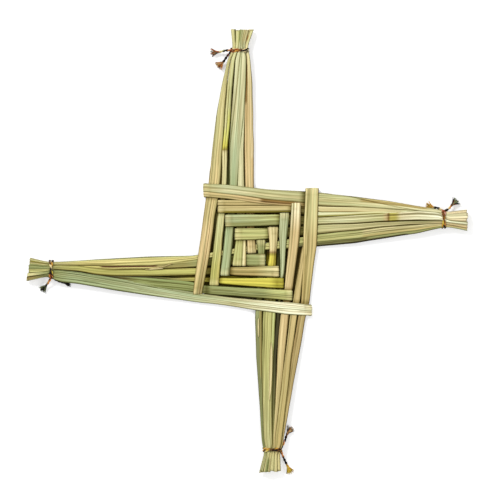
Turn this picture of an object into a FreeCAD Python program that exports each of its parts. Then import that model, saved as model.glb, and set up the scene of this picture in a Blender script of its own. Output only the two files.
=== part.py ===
import FreeCAD, Part
import math
import os

# A flat cross woven from flattened rushes, lying on its back with its front up.
# One straight rush, the king, crosses the middle. Every other rush is folded in half
# round the arm that was laid before it, and the rounds build up a square spiral.
# Both halves of a rush run out to the end of its own arm, where a twisted thread
# ties the bundle. All sizes are in millimetres.

# Rush stock
rush_thickness = 0.7
lay_clearance = 0.05
edge_pinch = 0.45
narrow_pinch_share = 0.3
fold_sides = 8
side_gap = 0.3

# King rush and the rushes next to it
king_width = 3.5
king_gap = 1.5
middle_gap = 0.25

# The rushes laid in each round: each one's width, and how far aside its fold leans
north_rounds = [[(5.6, 0.0)], [(7.2, 0.0)], [(4.9, 0.5)], [(5.1, 0.8)], [(6.0, 1.8)]]
east_rounds = [[], [(7.0, 0.3)], [(6.5, 0.8)], [(3.7, 0.8), (2.9, 0.6)], [(3.3, 0.3), (4.4, 0.2)]]
south_rounds = [[(5.0, 0.0)], [(5.3, 0.3)], [(4.9, 1.0)], [(4.9, 1.6)], [(3.8, 1.9), (4.0, 1.2)]]
west_rounds = [[(6.0, 0.0)], [(5.2, 0.2)], [(5.1, 0.3)], [(5.2, 0.6)], [(5.6, 1.6)]]

# Inside the weave the edges of one arm's rushes aim at a point this far out
weave_convergence = 220.0

# Where each arm's thread sits: how far out, and how far to the later rushes' side
north_tie_reach = 115.2
east_tie_reach = 109.4
south_tie_reach = 118.0
west_tie_reach = 119.9
north_tie_aside = 9.6
east_tie_aside = 16.4
south_tie_aside = 9.0
west_tie_aside = 12.5

# The tied bundles
north_bundle_width = 8.4
east_bundle_width = 8.4
south_bundle_width = 8.8
west_bundle_width = 8.4
bundle_thickness = 5.4
bundle_edge_fullness = 1.12
waist_length = 4.6
shoulder_margin = 1.0

# The cut tips: how long and wide each is, how far it leans aside, and how much further out
# the cut is at its outer side than in its middle
north_tip_length = 12.0
east_tip_length = 13.8
south_tip_length = 12.9
west_tip_length = 13.2
north_tip_width = 13.0
east_tip_width = 12.4
south_tip_width = 12.4
west_tip_width = 13.5
north_tip_lean = -1.3
east_tip_lean = -0.5
south_tip_lean = -1.0
west_tip_lean = 0.0
north_tip_slant = 0.0
east_tip_slant = 0.0
south_tip_slant = -0.5
west_tip_slant = 1.1
tip_raggedness = 0.5

# Thread ties
thread_diameter = 0.95
turn_spacing = 0.8
turn_tilt = 0.09
turn_sides = 16
knot_diameter = 2.2
knot_length = 2.4
tuft_spread = 1.7
tuft_length = 3.4

# Each thread's two tails, as points out along the arm and aside from the knot
north_tails = [[(-0.1, 2.8), (-0.9, 6.6), (-1.1, 11.8)], [(-3.8, 2.0), (-7.1, 4.4), (-9.7, 7.7)]]
east_tails = [[(-3.3, 0.8), (-6.9, 1.4), (-10.4, 2.5)], [(2.6, 0.3), (4.8, 2.6), (8.7, 5.9)]]
south_tails = [[(-5.0, 1.4), (-8.7, 2.7), (-13.4, 5.6)], [(4.2, 0.5), (8.6, 2.5), (14.6, 5.4)]]
west_tails = [[(1.5, 1.7), (3.3, 4.1), (6.2, 7.5)], [(-4.1, 1.2), (-7.2, 2.1), (-11.6, 2.8)]]

# Layers of the weave, measured from its middle plane
layer_pitch = rush_thickness + lay_clearance
inner_layer = 0.5 * layer_pitch
outer_layer = 1.5 * layer_pitch
fold_inside = outer_layer - rush_thickness / 2
fold_outside = outer_layer + rush_thickness / 2
fold_nesting = math.sqrt(fold_inside ** 2 - inner_layer ** 2) - lay_clearance
fold_gap = fold_outside + lay_clearance - fold_nesting
thread_radius = thread_diameter / 2

# A side counts as flat when its fourth corner is this near the plane of the others
flat_tolerance = 1e-6

# The thread and the back of the weave lie on one level
tie_lift = bundle_thickness / 2 + lay_clearance + thread_diameter - fold_outside


class Strip:
    # One rush as laid: its two edges on the cross's middle lines, how far its fold leans
    # aside, and its turn in the work
    def __init__(self, inner, outer, lean, turn):
        self.inner = inner
        self.outer = outer
        self.lean = lean
        self.turn = turn


class Tip:
    # The cut end of a tied bundle, as the sizes above give it
    def __init__(self, length, width, lean, slant):
        self.length = length
        self.width = width
        self.lean = lean
        self.slant = slant


class Arm:
    # Local frame of an arm: x runs out along it, y runs towards its later rushes
    def __init__(self, name, angle, rounds, reach, aside, bundle, tip, tails, has_king):
        self.name = name
        self.angle = angle
        self.rounds = rounds
        self.reach = reach
        self.aside = aside
        self.bundle = bundle
        self.tip = tip
        self.tails = tails
        self.strips = []
        self.king_slots = 1 if has_king else 0
        self.start = king_width / 2 if has_king else middle_gap

    def outer_edge(self, turn):
        # Outermost edge of what was laid on this arm before the given turn
        earlier = [strip.outer for strip in self.strips if strip.turn < turn]
        return earlier[-1] if earlier else self.start

    def edge_on_line(self, edge, start, slope=0.0):
        # Where a rush's edge crosses the line x = start + slope * y
        offset = edge - self.aside
        free = self.aside + offset * (1 - start / weave_convergence)
        return free / (1 + offset * slope / weave_convergence)

    def slot(self, number):
        # Edges of one rush's place in the tied bundle, numbered from the inner side
        slots = self.king_slots + len(self.strips)
        pitch = self.bundle / slots
        left = self.aside - self.bundle / 2 + pitch * number
        return left + lay_clearance / 2, left + pitch - lay_clearance / 2

    def bundle_height(self, y):
        # Half thickness of the tied bundle, oval across its width
        reach = bundle_edge_fullness * self.bundle / 2
        return bundle_thickness / 2 * math.sqrt(1 - ((y - self.aside) / reach) ** 2)


north_tip = Tip(north_tip_length, north_tip_width, north_tip_lean, north_tip_slant)
east_tip = Tip(east_tip_length, east_tip_width, east_tip_lean, east_tip_slant)
south_tip = Tip(south_tip_length, south_tip_width, south_tip_lean, south_tip_slant)
west_tip = Tip(west_tip_length, west_tip_width, west_tip_lean, west_tip_slant)

north = Arm("north", 90, north_rounds, north_tie_reach, north_tie_aside, north_bundle_width,
            north_tip, north_tails, False)
east = Arm("east", 0, east_rounds, east_tie_reach, east_tie_aside, east_bundle_width,
           east_tip, east_tails, True)
south = Arm("south", 270, south_rounds, south_tie_reach, south_tie_aside, south_bundle_width,
            south_tip, south_tails, False)
west = Arm("west", 180, west_rounds, west_tie_reach, west_tie_aside, west_bundle_width,
           west_tip, west_tails, True)

# Each arm is folded round the one before it in this order, and covered by the next
arms = [north, east, south, west]
for place, arm in enumerate(arms):
    arm.wrapped = arms[place - 1]
    arm.covering = arms[(place + 1) % len(arms)]


def lay_rushes():
    # Lays the rounds one after another and notes every rush's edges
    turn = 0
    for number in range(len(north_rounds)):
        for arm in arms:
            turn += 1
            for width, lean in arm.rounds[number]:
                inner = next_inner_edge(arm, turn)
                arm.strips.append(Strip(inner, inner + width, lean, turn))


def next_inner_edge(arm, turn):
    # A rush lies against the last one of its arm, or against the fold that lies between
    if not arm.strips:
        beside_king = king_gap + fold_gap if arm.king_slots else 0.0
        return arm.start + beside_king
    last = arm.strips[-1]
    between = [strip for strip in arm.covering.strips if last.turn < strip.turn < turn]
    if not between:
        return last.outer + side_gap
    narrowing = 1 - between[-1].outer / weave_convergence
    return last.outer + fold_gap / narrowing


def section(edges, near, far, start, slope=0.0):
    # Six-sided section of a rush: flat faces and pinched edges, on the line x = start + slope * y
    # near and far give the level of each face at its left and right end
    left, right = edges
    pinch = pinch_across(left, right)
    outline = [
        (left, (near[0] + far[0]) / 2),
        (left + pinch, far[0]),
        (right - pinch, far[1]),
        (right, (near[1] + far[1]) / 2),
        (right - pinch, near[1]),
        (left + pinch, near[0]),
    ]
    return [FreeCAD.Vector(start + slope * y, y, z) for y, z in outline]


def pinch_across(left, right):
    # How far the pinched edges run in, less on a rush squeezed narrow
    return min(edge_pinch, narrow_pinch_share * (right - left))


def solid_through(profiles):
    # Solid with flat sides through sections of equal count; a twisted side is two triangles
    faces = [closed_face(profiles[0]), closed_face(profiles[-1])]
    for first, second in zip(profiles, profiles[1:]):
        faces += side_faces(first, second)
    return Part.makeSolid(Part.makeShell(faces))


def side_faces(first, second):
    faces = []
    for corner in range(len(first)):
        quad = [first[corner - 1], first[corner], second[corner], second[corner - 1]]
        normal = (quad[1] - quad[0]).cross(quad[2] - quad[0])
        out_of_plane = abs(normal.dot(quad[3] - quad[0]))
        if out_of_plane < flat_tolerance * normal.Length:
            faces.append(closed_face(quad))
        else:
            faces.append(closed_face(quad[:3]))
            faces.append(closed_face([quad[0], quad[2], quad[3]]))
    return faces


def closed_face(corners):
    return Part.Face(Part.makePolygon(corners + corners[:1]))


def flat_section(arm, strip, face, layer, start):
    # A rush lying flat in its layer of the weave, on the front (face 1) or the back (face -1)
    edges = [arm.edge_on_line(edge, start) for edge in (strip.inner, strip.outer)]
    near = face * (layer - rush_thickness / 2)
    far = face * (layer + rush_thickness / 2)
    return section(edges, (near, near), (far, far), start)


def tied_section(arm, slot, face, start, flare=1.0, lean=0.0):
    # A rush squeezed into its place in the tied bundle; face 0 is one that fills both halves
    pinch = pinch_across(*slot)
    heights = [arm.bundle_height(edge) for edge in (slot[0] + pinch, slot[1] - pinch)]
    if face:
        near = [tie_lift + face * lay_clearance / 2] * 2
        far = [tie_lift + face * height for height in heights]
    else:
        near = [tie_lift - height for height in heights]
        far = [tie_lift + height for height in heights]
    spread = [arm.aside + lean + (edge - arm.aside) * flare for edge in slot]
    return section(spread, near, far, start)


def bundle_sections(arm, number, face):
    # The stretch held by the thread, and the cut tip beyond it
    slot = arm.slot(number)
    half_waist = waist_length / 2
    beside = (slot[0] + slot[1]) / 2 - arm.aside
    length = arm.tip.length + arm.tip.slant * beside / (arm.bundle / 2)
    length -= tip_raggedness * math.sin(2.4 * number + face)
    share = (length - half_waist) / (arm.tip.length - half_waist)
    flare = 1 + (arm.tip.width / arm.bundle - 1) * share
    return [
        tied_section(arm, slot, face, arm.reach - half_waist),
        tied_section(arm, slot, face, arm.reach + half_waist),
        tied_section(arm, slot, face, arm.reach + length, flare, arm.tip.lean * share),
    ]


def shoulder(arm):
    # Where the arm comes out from under the last rush that covers it
    cover = arm.covering
    top = arm.edge_on_line(arm.strips[-1].outer, 0.0)
    return cover.edge_on_line(cover.strips[-1].outer, -top) + shoulder_margin


def step_end(arm, strip):
    # A rush is down in the inner layer before the next rush covers it
    cover = arm.covering
    later = [other for other in cover.strips if other.turn > strip.turn]
    if not later:
        return shoulder(arm) - shoulder_margin
    return cover.edge_on_line(later[0].inner, -strip.inner) - lay_clearance


def half_rush(arm, number, strip, face):
    # Sections of the front (face 1) or back (face -1) half, from beside the fold to the cut tip
    profiles = [
        flat_section(arm, strip, face, outer_layer, king_width / 2 + lay_clearance),
        flat_section(arm, strip, face, inner_layer, step_end(arm, strip)),
        flat_section(arm, strip, face, inner_layer, shoulder(arm)),
    ]
    return profiles + bundle_sections(arm, number + arm.king_slots, face)


def fold_sections(arm, strip):
    # Half turn from the front half to the back half; its axis lies just inside the outer edge
    # of the arm that the rush is folded round
    wrapped = arm.wrapped
    edge = wrapped.outer_edge(strip.turn)
    start = fold_nesting - edge
    slope = (edge - wrapped.aside) / weave_convergence
    middle = arm.edge_on_line((strip.inner + strip.outer) / 2, start, slope) + strip.lean
    half = (strip.outer - strip.inner) / 2
    levels = (fold_inside, fold_inside), (fold_outside, fold_outside)
    front = section((middle - half, middle + half), *levels, start, slope)
    pivot = FreeCAD.Vector(start, 0, 0)
    axis = FreeCAD.Vector(-slope, -1, 0)
    profiles = []
    for step in range(fold_sides + 1):
        turn = FreeCAD.Rotation(axis, 180 * step / fold_sides)
        profiles.append([pivot + turn.multVec(corner - pivot) for corner in front])
    return profiles


def rush(arm, number, strip):
    front = half_rush(arm, number, strip, 1)
    back = half_rush(arm, number, strip, -1)
    return solid_through(front[::-1] + fold_sections(arm, strip) + back).removeSplitter()


def king_half(arm):
    # From the middle of the cross to one tip, in the innermost place of the arm
    half = king_width / 2
    height = layer_pitch - lay_clearance / 2
    profiles = []
    for start in (0.0, shoulder(arm)):
        edges = [arm.edge_on_line(edge, start) for edge in (-half, half)]
        profiles.append(section(edges, (-height, -height), (height, height), start))
    return solid_through(profiles + bundle_sections(arm, 0, 0))


def thread_turn(arm, offset, tilt):
    # One turn of thread round the bundle: a many-sided oval ring of six-sided thread
    half_width = bundle_edge_fullness * arm.bundle / 2 + lay_clearance + thread_radius
    half_height = bundle_thickness / 2 + lay_clearance + thread_radius
    normals = []
    for side in range(turn_sides):
        angle = 2 * math.pi * side / turn_sides
        across = math.cos(angle) / half_width
        upward = math.sin(angle) / half_height
        length = math.hypot(across, upward)
        normals.append((across / length, upward / length, 1 / length))
    loops = []
    for corner in range(6):
        angle = math.pi / 6 + corner * math.pi / 3
        stand_off = thread_radius / math.cos(math.pi / 6) * math.cos(angle)
        along = thread_radius / math.cos(math.pi / 6) * math.sin(angle)
        loop = []
        for side in range(turn_sides):
            y, z = offset_corner(normals[side - 1], normals[side], stand_off)
            x = arm.reach + offset + along + tilt * y
            loop.append(FreeCAD.Vector(x, arm.aside + y, tie_lift + z))
        loops.append(loop)
    faces = []
    for corner in range(6):
        faces += side_faces(loops[corner - 1], loops[corner])
    return Part.makeSolid(Part.makeShell(faces))


def offset_corner(first, second, stand_off):
    # Corner between two neighbouring sides of the ring, each moved out by the same distance
    y1, z1, d1 = first
    y2, z2, d2 = second
    d1 += stand_off
    d2 += stand_off
    span = y1 * z2 - y2 * z1
    return (d1 * z2 - d2 * z1) / span, (y1 * d2 - y2 * d1) / span


def six_sided_strand(points, radii):
    # A run of thread through the points, six-sided, with its own radius at each
    profiles = []
    for place, point in enumerate(points):
        before = points[max(place - 1, 0)]
        after = points[min(place + 1, len(points) - 1)]
        along = (after - before).normalize()
        aside = along.cross(FreeCAD.Vector(0, 0, 1)).normalize()
        upward = aside.cross(along)
        ring = []
        for corner in range(6):
            angle = math.pi / 6 + corner * math.pi / 3
            offset = aside * math.cos(angle) + upward * math.sin(angle)
            ring.append(point + offset * radii[place])
        profiles.append(ring)
    return solid_through(profiles)


def knot_place(arm):
    # The knot sits on the outer side of the bundle, clear of the rushes
    out = bundle_edge_fullness * arm.bundle / 2 + lay_clearance + knot_diameter / 2
    return FreeCAD.Vector(arm.reach, arm.aside + out, tie_lift)


def thread_tail(arm, route):
    # A tail leaves the knot, sinks to the level of the back, and ends in a frayed tuft
    knot = knot_place(arm)
    floor = thread_radius * tuft_spread - fold_outside
    points = [knot]
    for place, (out, aside) in enumerate(route):
        share = (place + 1) / len(route)
        height = knot.z + (floor - knot.z) * share
        points.append(FreeCAD.Vector(knot.x + out, knot.y + aside, height))
    last_run = points[-1] - points[-2]
    tuft_start = points[-1] - last_run * (tuft_length / last_run.Length)
    points.insert(-1, tuft_start)
    radii = [thread_radius] * (len(points) - 1) + [thread_radius * tuft_spread]
    return six_sided_strand(points, radii)


def knot(arm):
    place = knot_place(arm)
    shares = (-0.5, -0.25, 0.25, 0.5)
    sizes = (0.6, 1.0, 1.0, 0.6)
    points = [place + FreeCAD.Vector(knot_length * share, 0, 0) for share in shares]
    return six_sided_strand(points, [knot_diameter / 2 * size for size in sizes])


def thread_tie(arm):
    pieces = [thread_turn(arm, turn_spacing / 2, turn_tilt)]
    pieces.append(thread_turn(arm, -turn_spacing / 2, -turn_tilt))
    pieces.append(knot(arm))
    pieces += [thread_tail(arm, route) for route in arm.tails]
    return pieces[0].fuse(pieces[1:]).removeSplitter()


def build():
    # Every piece by name, turned from its arm's own frame into the cross
    lay_rushes()
    axis = FreeCAD.Vector(0, 0, 1)
    middle = FreeCAD.Vector(0, 0, 0)
    pieces = {}
    king = None
    for arm in arms:
        for number, strip in enumerate(arm.strips):
            shape = rush(arm, number, strip)
            shape.rotate(middle, axis, arm.angle)
            pieces[f"{arm.name}_rush_{number + 1}"] = shape
        tie = thread_tie(arm)
        tie.rotate(middle, axis, arm.angle)
        pieces[f"thread_tie_{arm.name}"] = tie
        if arm.king_slots:
            half = king_half(arm)
            half.rotate(middle, axis, arm.angle)
            king = half if king is None else king.fuse(half).removeSplitter()
    pieces["king_rush"] = king
    return pieces


pieces = build()
box = Part.makeCompound(list(pieces.values())).BoundBox
to_origin = FreeCAD.Vector(-box.Center.x, -box.Center.y, -box.ZMin)
os.makedirs("parts", exist_ok=True)
for name, shape in pieces.items():
    shape.translate(to_origin)
    shape.exportStep(f"parts/{name}.step")
    print(name, shape.ShapeType, len(shape.Solids), shape.isValid(), round(shape.Volume, 1))
print("overall size", [round(size, 2) for size in (box.XLength, box.YLength, box.ZLength)])
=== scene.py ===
import bpy
import math
import numpy as np
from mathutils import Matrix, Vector


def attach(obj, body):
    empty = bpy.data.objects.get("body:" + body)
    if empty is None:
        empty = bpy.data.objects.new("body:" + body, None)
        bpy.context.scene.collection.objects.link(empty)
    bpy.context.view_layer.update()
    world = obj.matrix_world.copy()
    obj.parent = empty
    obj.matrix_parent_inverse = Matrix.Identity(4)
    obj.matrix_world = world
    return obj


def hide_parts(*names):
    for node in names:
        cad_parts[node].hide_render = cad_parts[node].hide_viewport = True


# A flat cross of flattened rushes, seen from straight above as it lies on its back.
# Each rush is rebuilt along the path that its frame node gives, with ridges, pleats,
# uneven edges and colour along its length. Lengths are in metres.

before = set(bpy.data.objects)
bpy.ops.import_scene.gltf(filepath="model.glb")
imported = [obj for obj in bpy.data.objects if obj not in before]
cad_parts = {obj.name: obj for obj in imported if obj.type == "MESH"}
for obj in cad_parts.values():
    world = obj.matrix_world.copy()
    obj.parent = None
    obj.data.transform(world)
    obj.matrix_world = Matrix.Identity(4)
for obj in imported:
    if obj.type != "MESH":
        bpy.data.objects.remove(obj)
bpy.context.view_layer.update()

MM = 0.001
OUTWARD = np.array([1.0, 0, 0])
UPWARD = np.array([0, 0, 1.0])
ARM_ANGLE = {"east": 0, "north": 90, "west": 180, "south": 270}

# The photograph's scale, and where the middle of the object's box lies in it
PHOTO_SIZE = 500
PHOTO_PIXEL = 0.5845 * MM
PHOTO_MIDDLE = (247.3, 252.09)

# Each arm in the photograph: which pixel axis it lies along, and the signs of out and aside
ARM_PIXELS = {"east": (0, 1, -1), "north": (1, -1, -1), "west": (0, -1, 1), "south": (1, 1, 1)}

# The nodes' rushes: their thickness, how far the edge of a fold stands past its flat part, and
# how far apart along the arm corners of one station may lie
RUSH_THICKNESS = 0.7 * MM
EDGE_PINCH = 0.45 * MM
STATION_SLACK = 0.02 * MM

# How finely a rush is built: along it, round its fold, across its outer and inner faces
ROW_STEP = 1.2 * MM
BEND_STEPS = 14
ACROSS_FAR = 41
ACROSS_NEAR = 13

# The back halves of neighbours nearly meet, or meet the fold that comes down between them.
# Beside its own fold a back half keeps the front's edges.
BACK_GAP = 0.06 * MM
FOLD_ROOM = 4.5 * MM
WIDEST_FILL = 5.0 * MM
FOLD_EASE = 0.7 * MM
SAME_EDGES = 3 * MM
SAME_EDGES_OUTERMOST = 11 * MM
OUTERMOST = ("north_rush_5", "east_rush_5", "east_rush_6", "south_rush_5", "south_rush_6", "west_rush_5")

# Edges: their rounding, how much wider than the node a rush is past the thread and on the back,
# and how far they wobble; how far a knuckle's swelling reaches; how deep a cut end is set back
# and how far its rim goes in; and over how many rows edges and levels are evened out
CORNER_RADIUS = 0.33 * MM
NODE_SPREAD = 0.12 * MM
BACK_SPREAD = 0.16 * MM
WOBBLE = 0.12 * MM
KNUCKLE_REACH = 1.3 * MM
CUT_INSET = 0.6 * MM
CUT_RIM = 0.35
EDGE_ROWS = 2
LEVEL_ROWS = 3

# Across a rush: how many waves its ridges are made of and how high they are, how many fine
# grooves it has beside its pleats, and how far out a crease has gone from its fold place to its
# tie place
WAVES = 5
WAVE_HEIGHT = 0.3
FINE_GROOVES = 3
CREASE_LENGTH = 150 * MM

# Lengths over which a rush's left edge, right edge, thickness, tilt and broad bands wander
WANDER_STEPS = (9 * MM, 11 * MM, 16 * MM, 30 * MM, 22 * MM)

# The outer face: its crown, tilt and ridges, how much stronger they are under the thread, the
# crumpled fold, the rise of a knuckle, the change of thickness, and how much flatter a back is
CROWN = 0.13 * MM
TILT = 0.08 * MM
RIDGE = 0.06 * MM
TIED_RIDGE = 1.6
CRUMPLE = 0.07 * MM
CRUMPLE_REACH = 2.2 * MM
KNUCKLE_RISE = 0.7
THICKER = 0.04
BACK_FLATTER = 0.2 * MM

# Painted shade on faces that look into the weave: how much of their light they keep, and how far
# past the thread that eases off
INNER_SHADE = 0.14
INNER_EASE = 4 * MM

# Painted shade where others hide a rush: how much darker it is there, and how that starts and
# ends along it
HIDDEN_PAINTED_SHADE = 0.80
HIDDEN_START = 2 * MM
HIDDEN_EASE = 4 * MM
HIDDEN_END = 4 * MM
HIDDEN_EASE_OUT = 5 * MM

# Painted shade on the edges of a rush, as if lit from up and left: how light an edge is that faces
# up and left in the picture, and a low one that faces down and right; how wide its rim is, what a
# low one adds to that and its largest share of the rush; and the way the low ones face and how fast
# one kind turns into the other
EDGE_SHADE = 0.44
EDGE_SHADE_LOW = 0.10
EDGE_WIDTH = 0.50 * MM
EDGE_WIDTH_LOW = 0.55 * MM
EDGE_WIDEST = 0.26
LOWER_RIGHT = np.array([0.6, -0.8, 0])
LOWER_CONTRAST = 0.7

# Painted highlight on the paler line inside an edge and on ridges, painted shade in grooves and
# in the dark line beside a fold, and broad bands of lighter and darker tone
RIM_HIGHLIGHT = 0.10
RIM_HIGHLIGHT_PLACE = 0.62 * MM
RIM_HIGHLIGHT_WIDTH = 0.2 * MM
RIDGE_LIGHT = 0.13
GROOVE_DARK = 0.58
BAND_LIGHT = 0.07
FOLD_SHADE_LINE = 0.22
FOLD_SHADE_PLACE = 2.1 * MM
FOLD_SHADE_WIDTH = 0.6 * MM

# Straw: how much faster green and blue darken than red, its two tints, and how far apart the
# streaks are read for a rush's two faces and for one rush and the next
DARK_POWERS = (1.0, 1.06, 1.35)
WARM_TINT = (1.02, 0.98, 0.94, 1)
GREEN_TINT = (0.96, 1.0, 0.97, 1)
FACES_APART = 9 * MM
RUSHES_APART = 0.37

# How softly a stripe ends across and along its rush, and how far the painted cream highlight
# reaches from the fold
STRIPE_EASE = 0.12
STRIPE_END = 3 * MM
FOLD_HIGHLIGHT_REACH = 1.9 * MM

# Twisted thread: two plies round each other, and how its two turns hug the bundle and lean.
# Where they cross on the front, the second is raised and the first is lowered by a share.
THREAD_RADIUS = 0.475 * MM
PLY_RADIUS = 0.40 * MM
PLY_OFFSET = 0.35 * MM
PLY_PITCH = 4.4 * MM
PLY_SIDES = 8
THREAD_HUG = 0.5 * MM
OVAL_FULLNESS = 2.3
TURN_STEPS = 192
LOOP_LEAN = 0.8 * MM
CROSSING_REACH = 0.5 * MM
CROSSING_RISE = 0.15
CROSSING_DROP = -0.03

# The knot, and where the tails leave it
KNOT_RADIUS = 0.55 * MM
KNOT_LENGTH = 1.7 * MM
KNOT_TURNS = 1.8
KNOT_STEPS = 60
KNOT_OUT = 0.55 * MM
KNOT_LIFT = 1.3 * MM
KNOT_FULLNESS = 1.12
CARRIED_KNOT = 1.15 * MM
TAIL_LEVEL = 0.8 * MM
TAIL_STEP = 0.28 * MM

# A frayed tuft: its fan in degrees, its shortest and its darkest fibre as a share, how much they
# curl, and the levels in mm that they come to rest at
TUFT_LENGTH = 4.6 * MM
TUFT_FIBRES = 56
TUFT_FAN = 34
TUFT_SHORTEST = 0.62
TUFT_DARKEST = 0.45
TUFT_CURL = 0.25
TUFT_REST = (0.3, 1.9)
TUFT_STEPS = 7
FIBRE_RADIUS = 0.25 * MM
FIBRE_SIDES = 5

# The torn fibres: how far they rise off their rush, and half their thickness
FIBRE_RISE = 0.35 * MM
FIBRE_HALF = 0.13 * MM

# The camera's height and the level that the photograph's scale holds for; the floor and light
CAMERA_DISTANCE = 2.4
PICTURE_LEVEL = 3 * MM
SENSOR_WIDTH = 36.0
FLOOR_REACH = 3.0
FLOOR_TONE = (0.8, 0.8, 0.8, 1)
FLOOR_GLOW = 0.4
ROOM_LIGHT = 0.55

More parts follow.
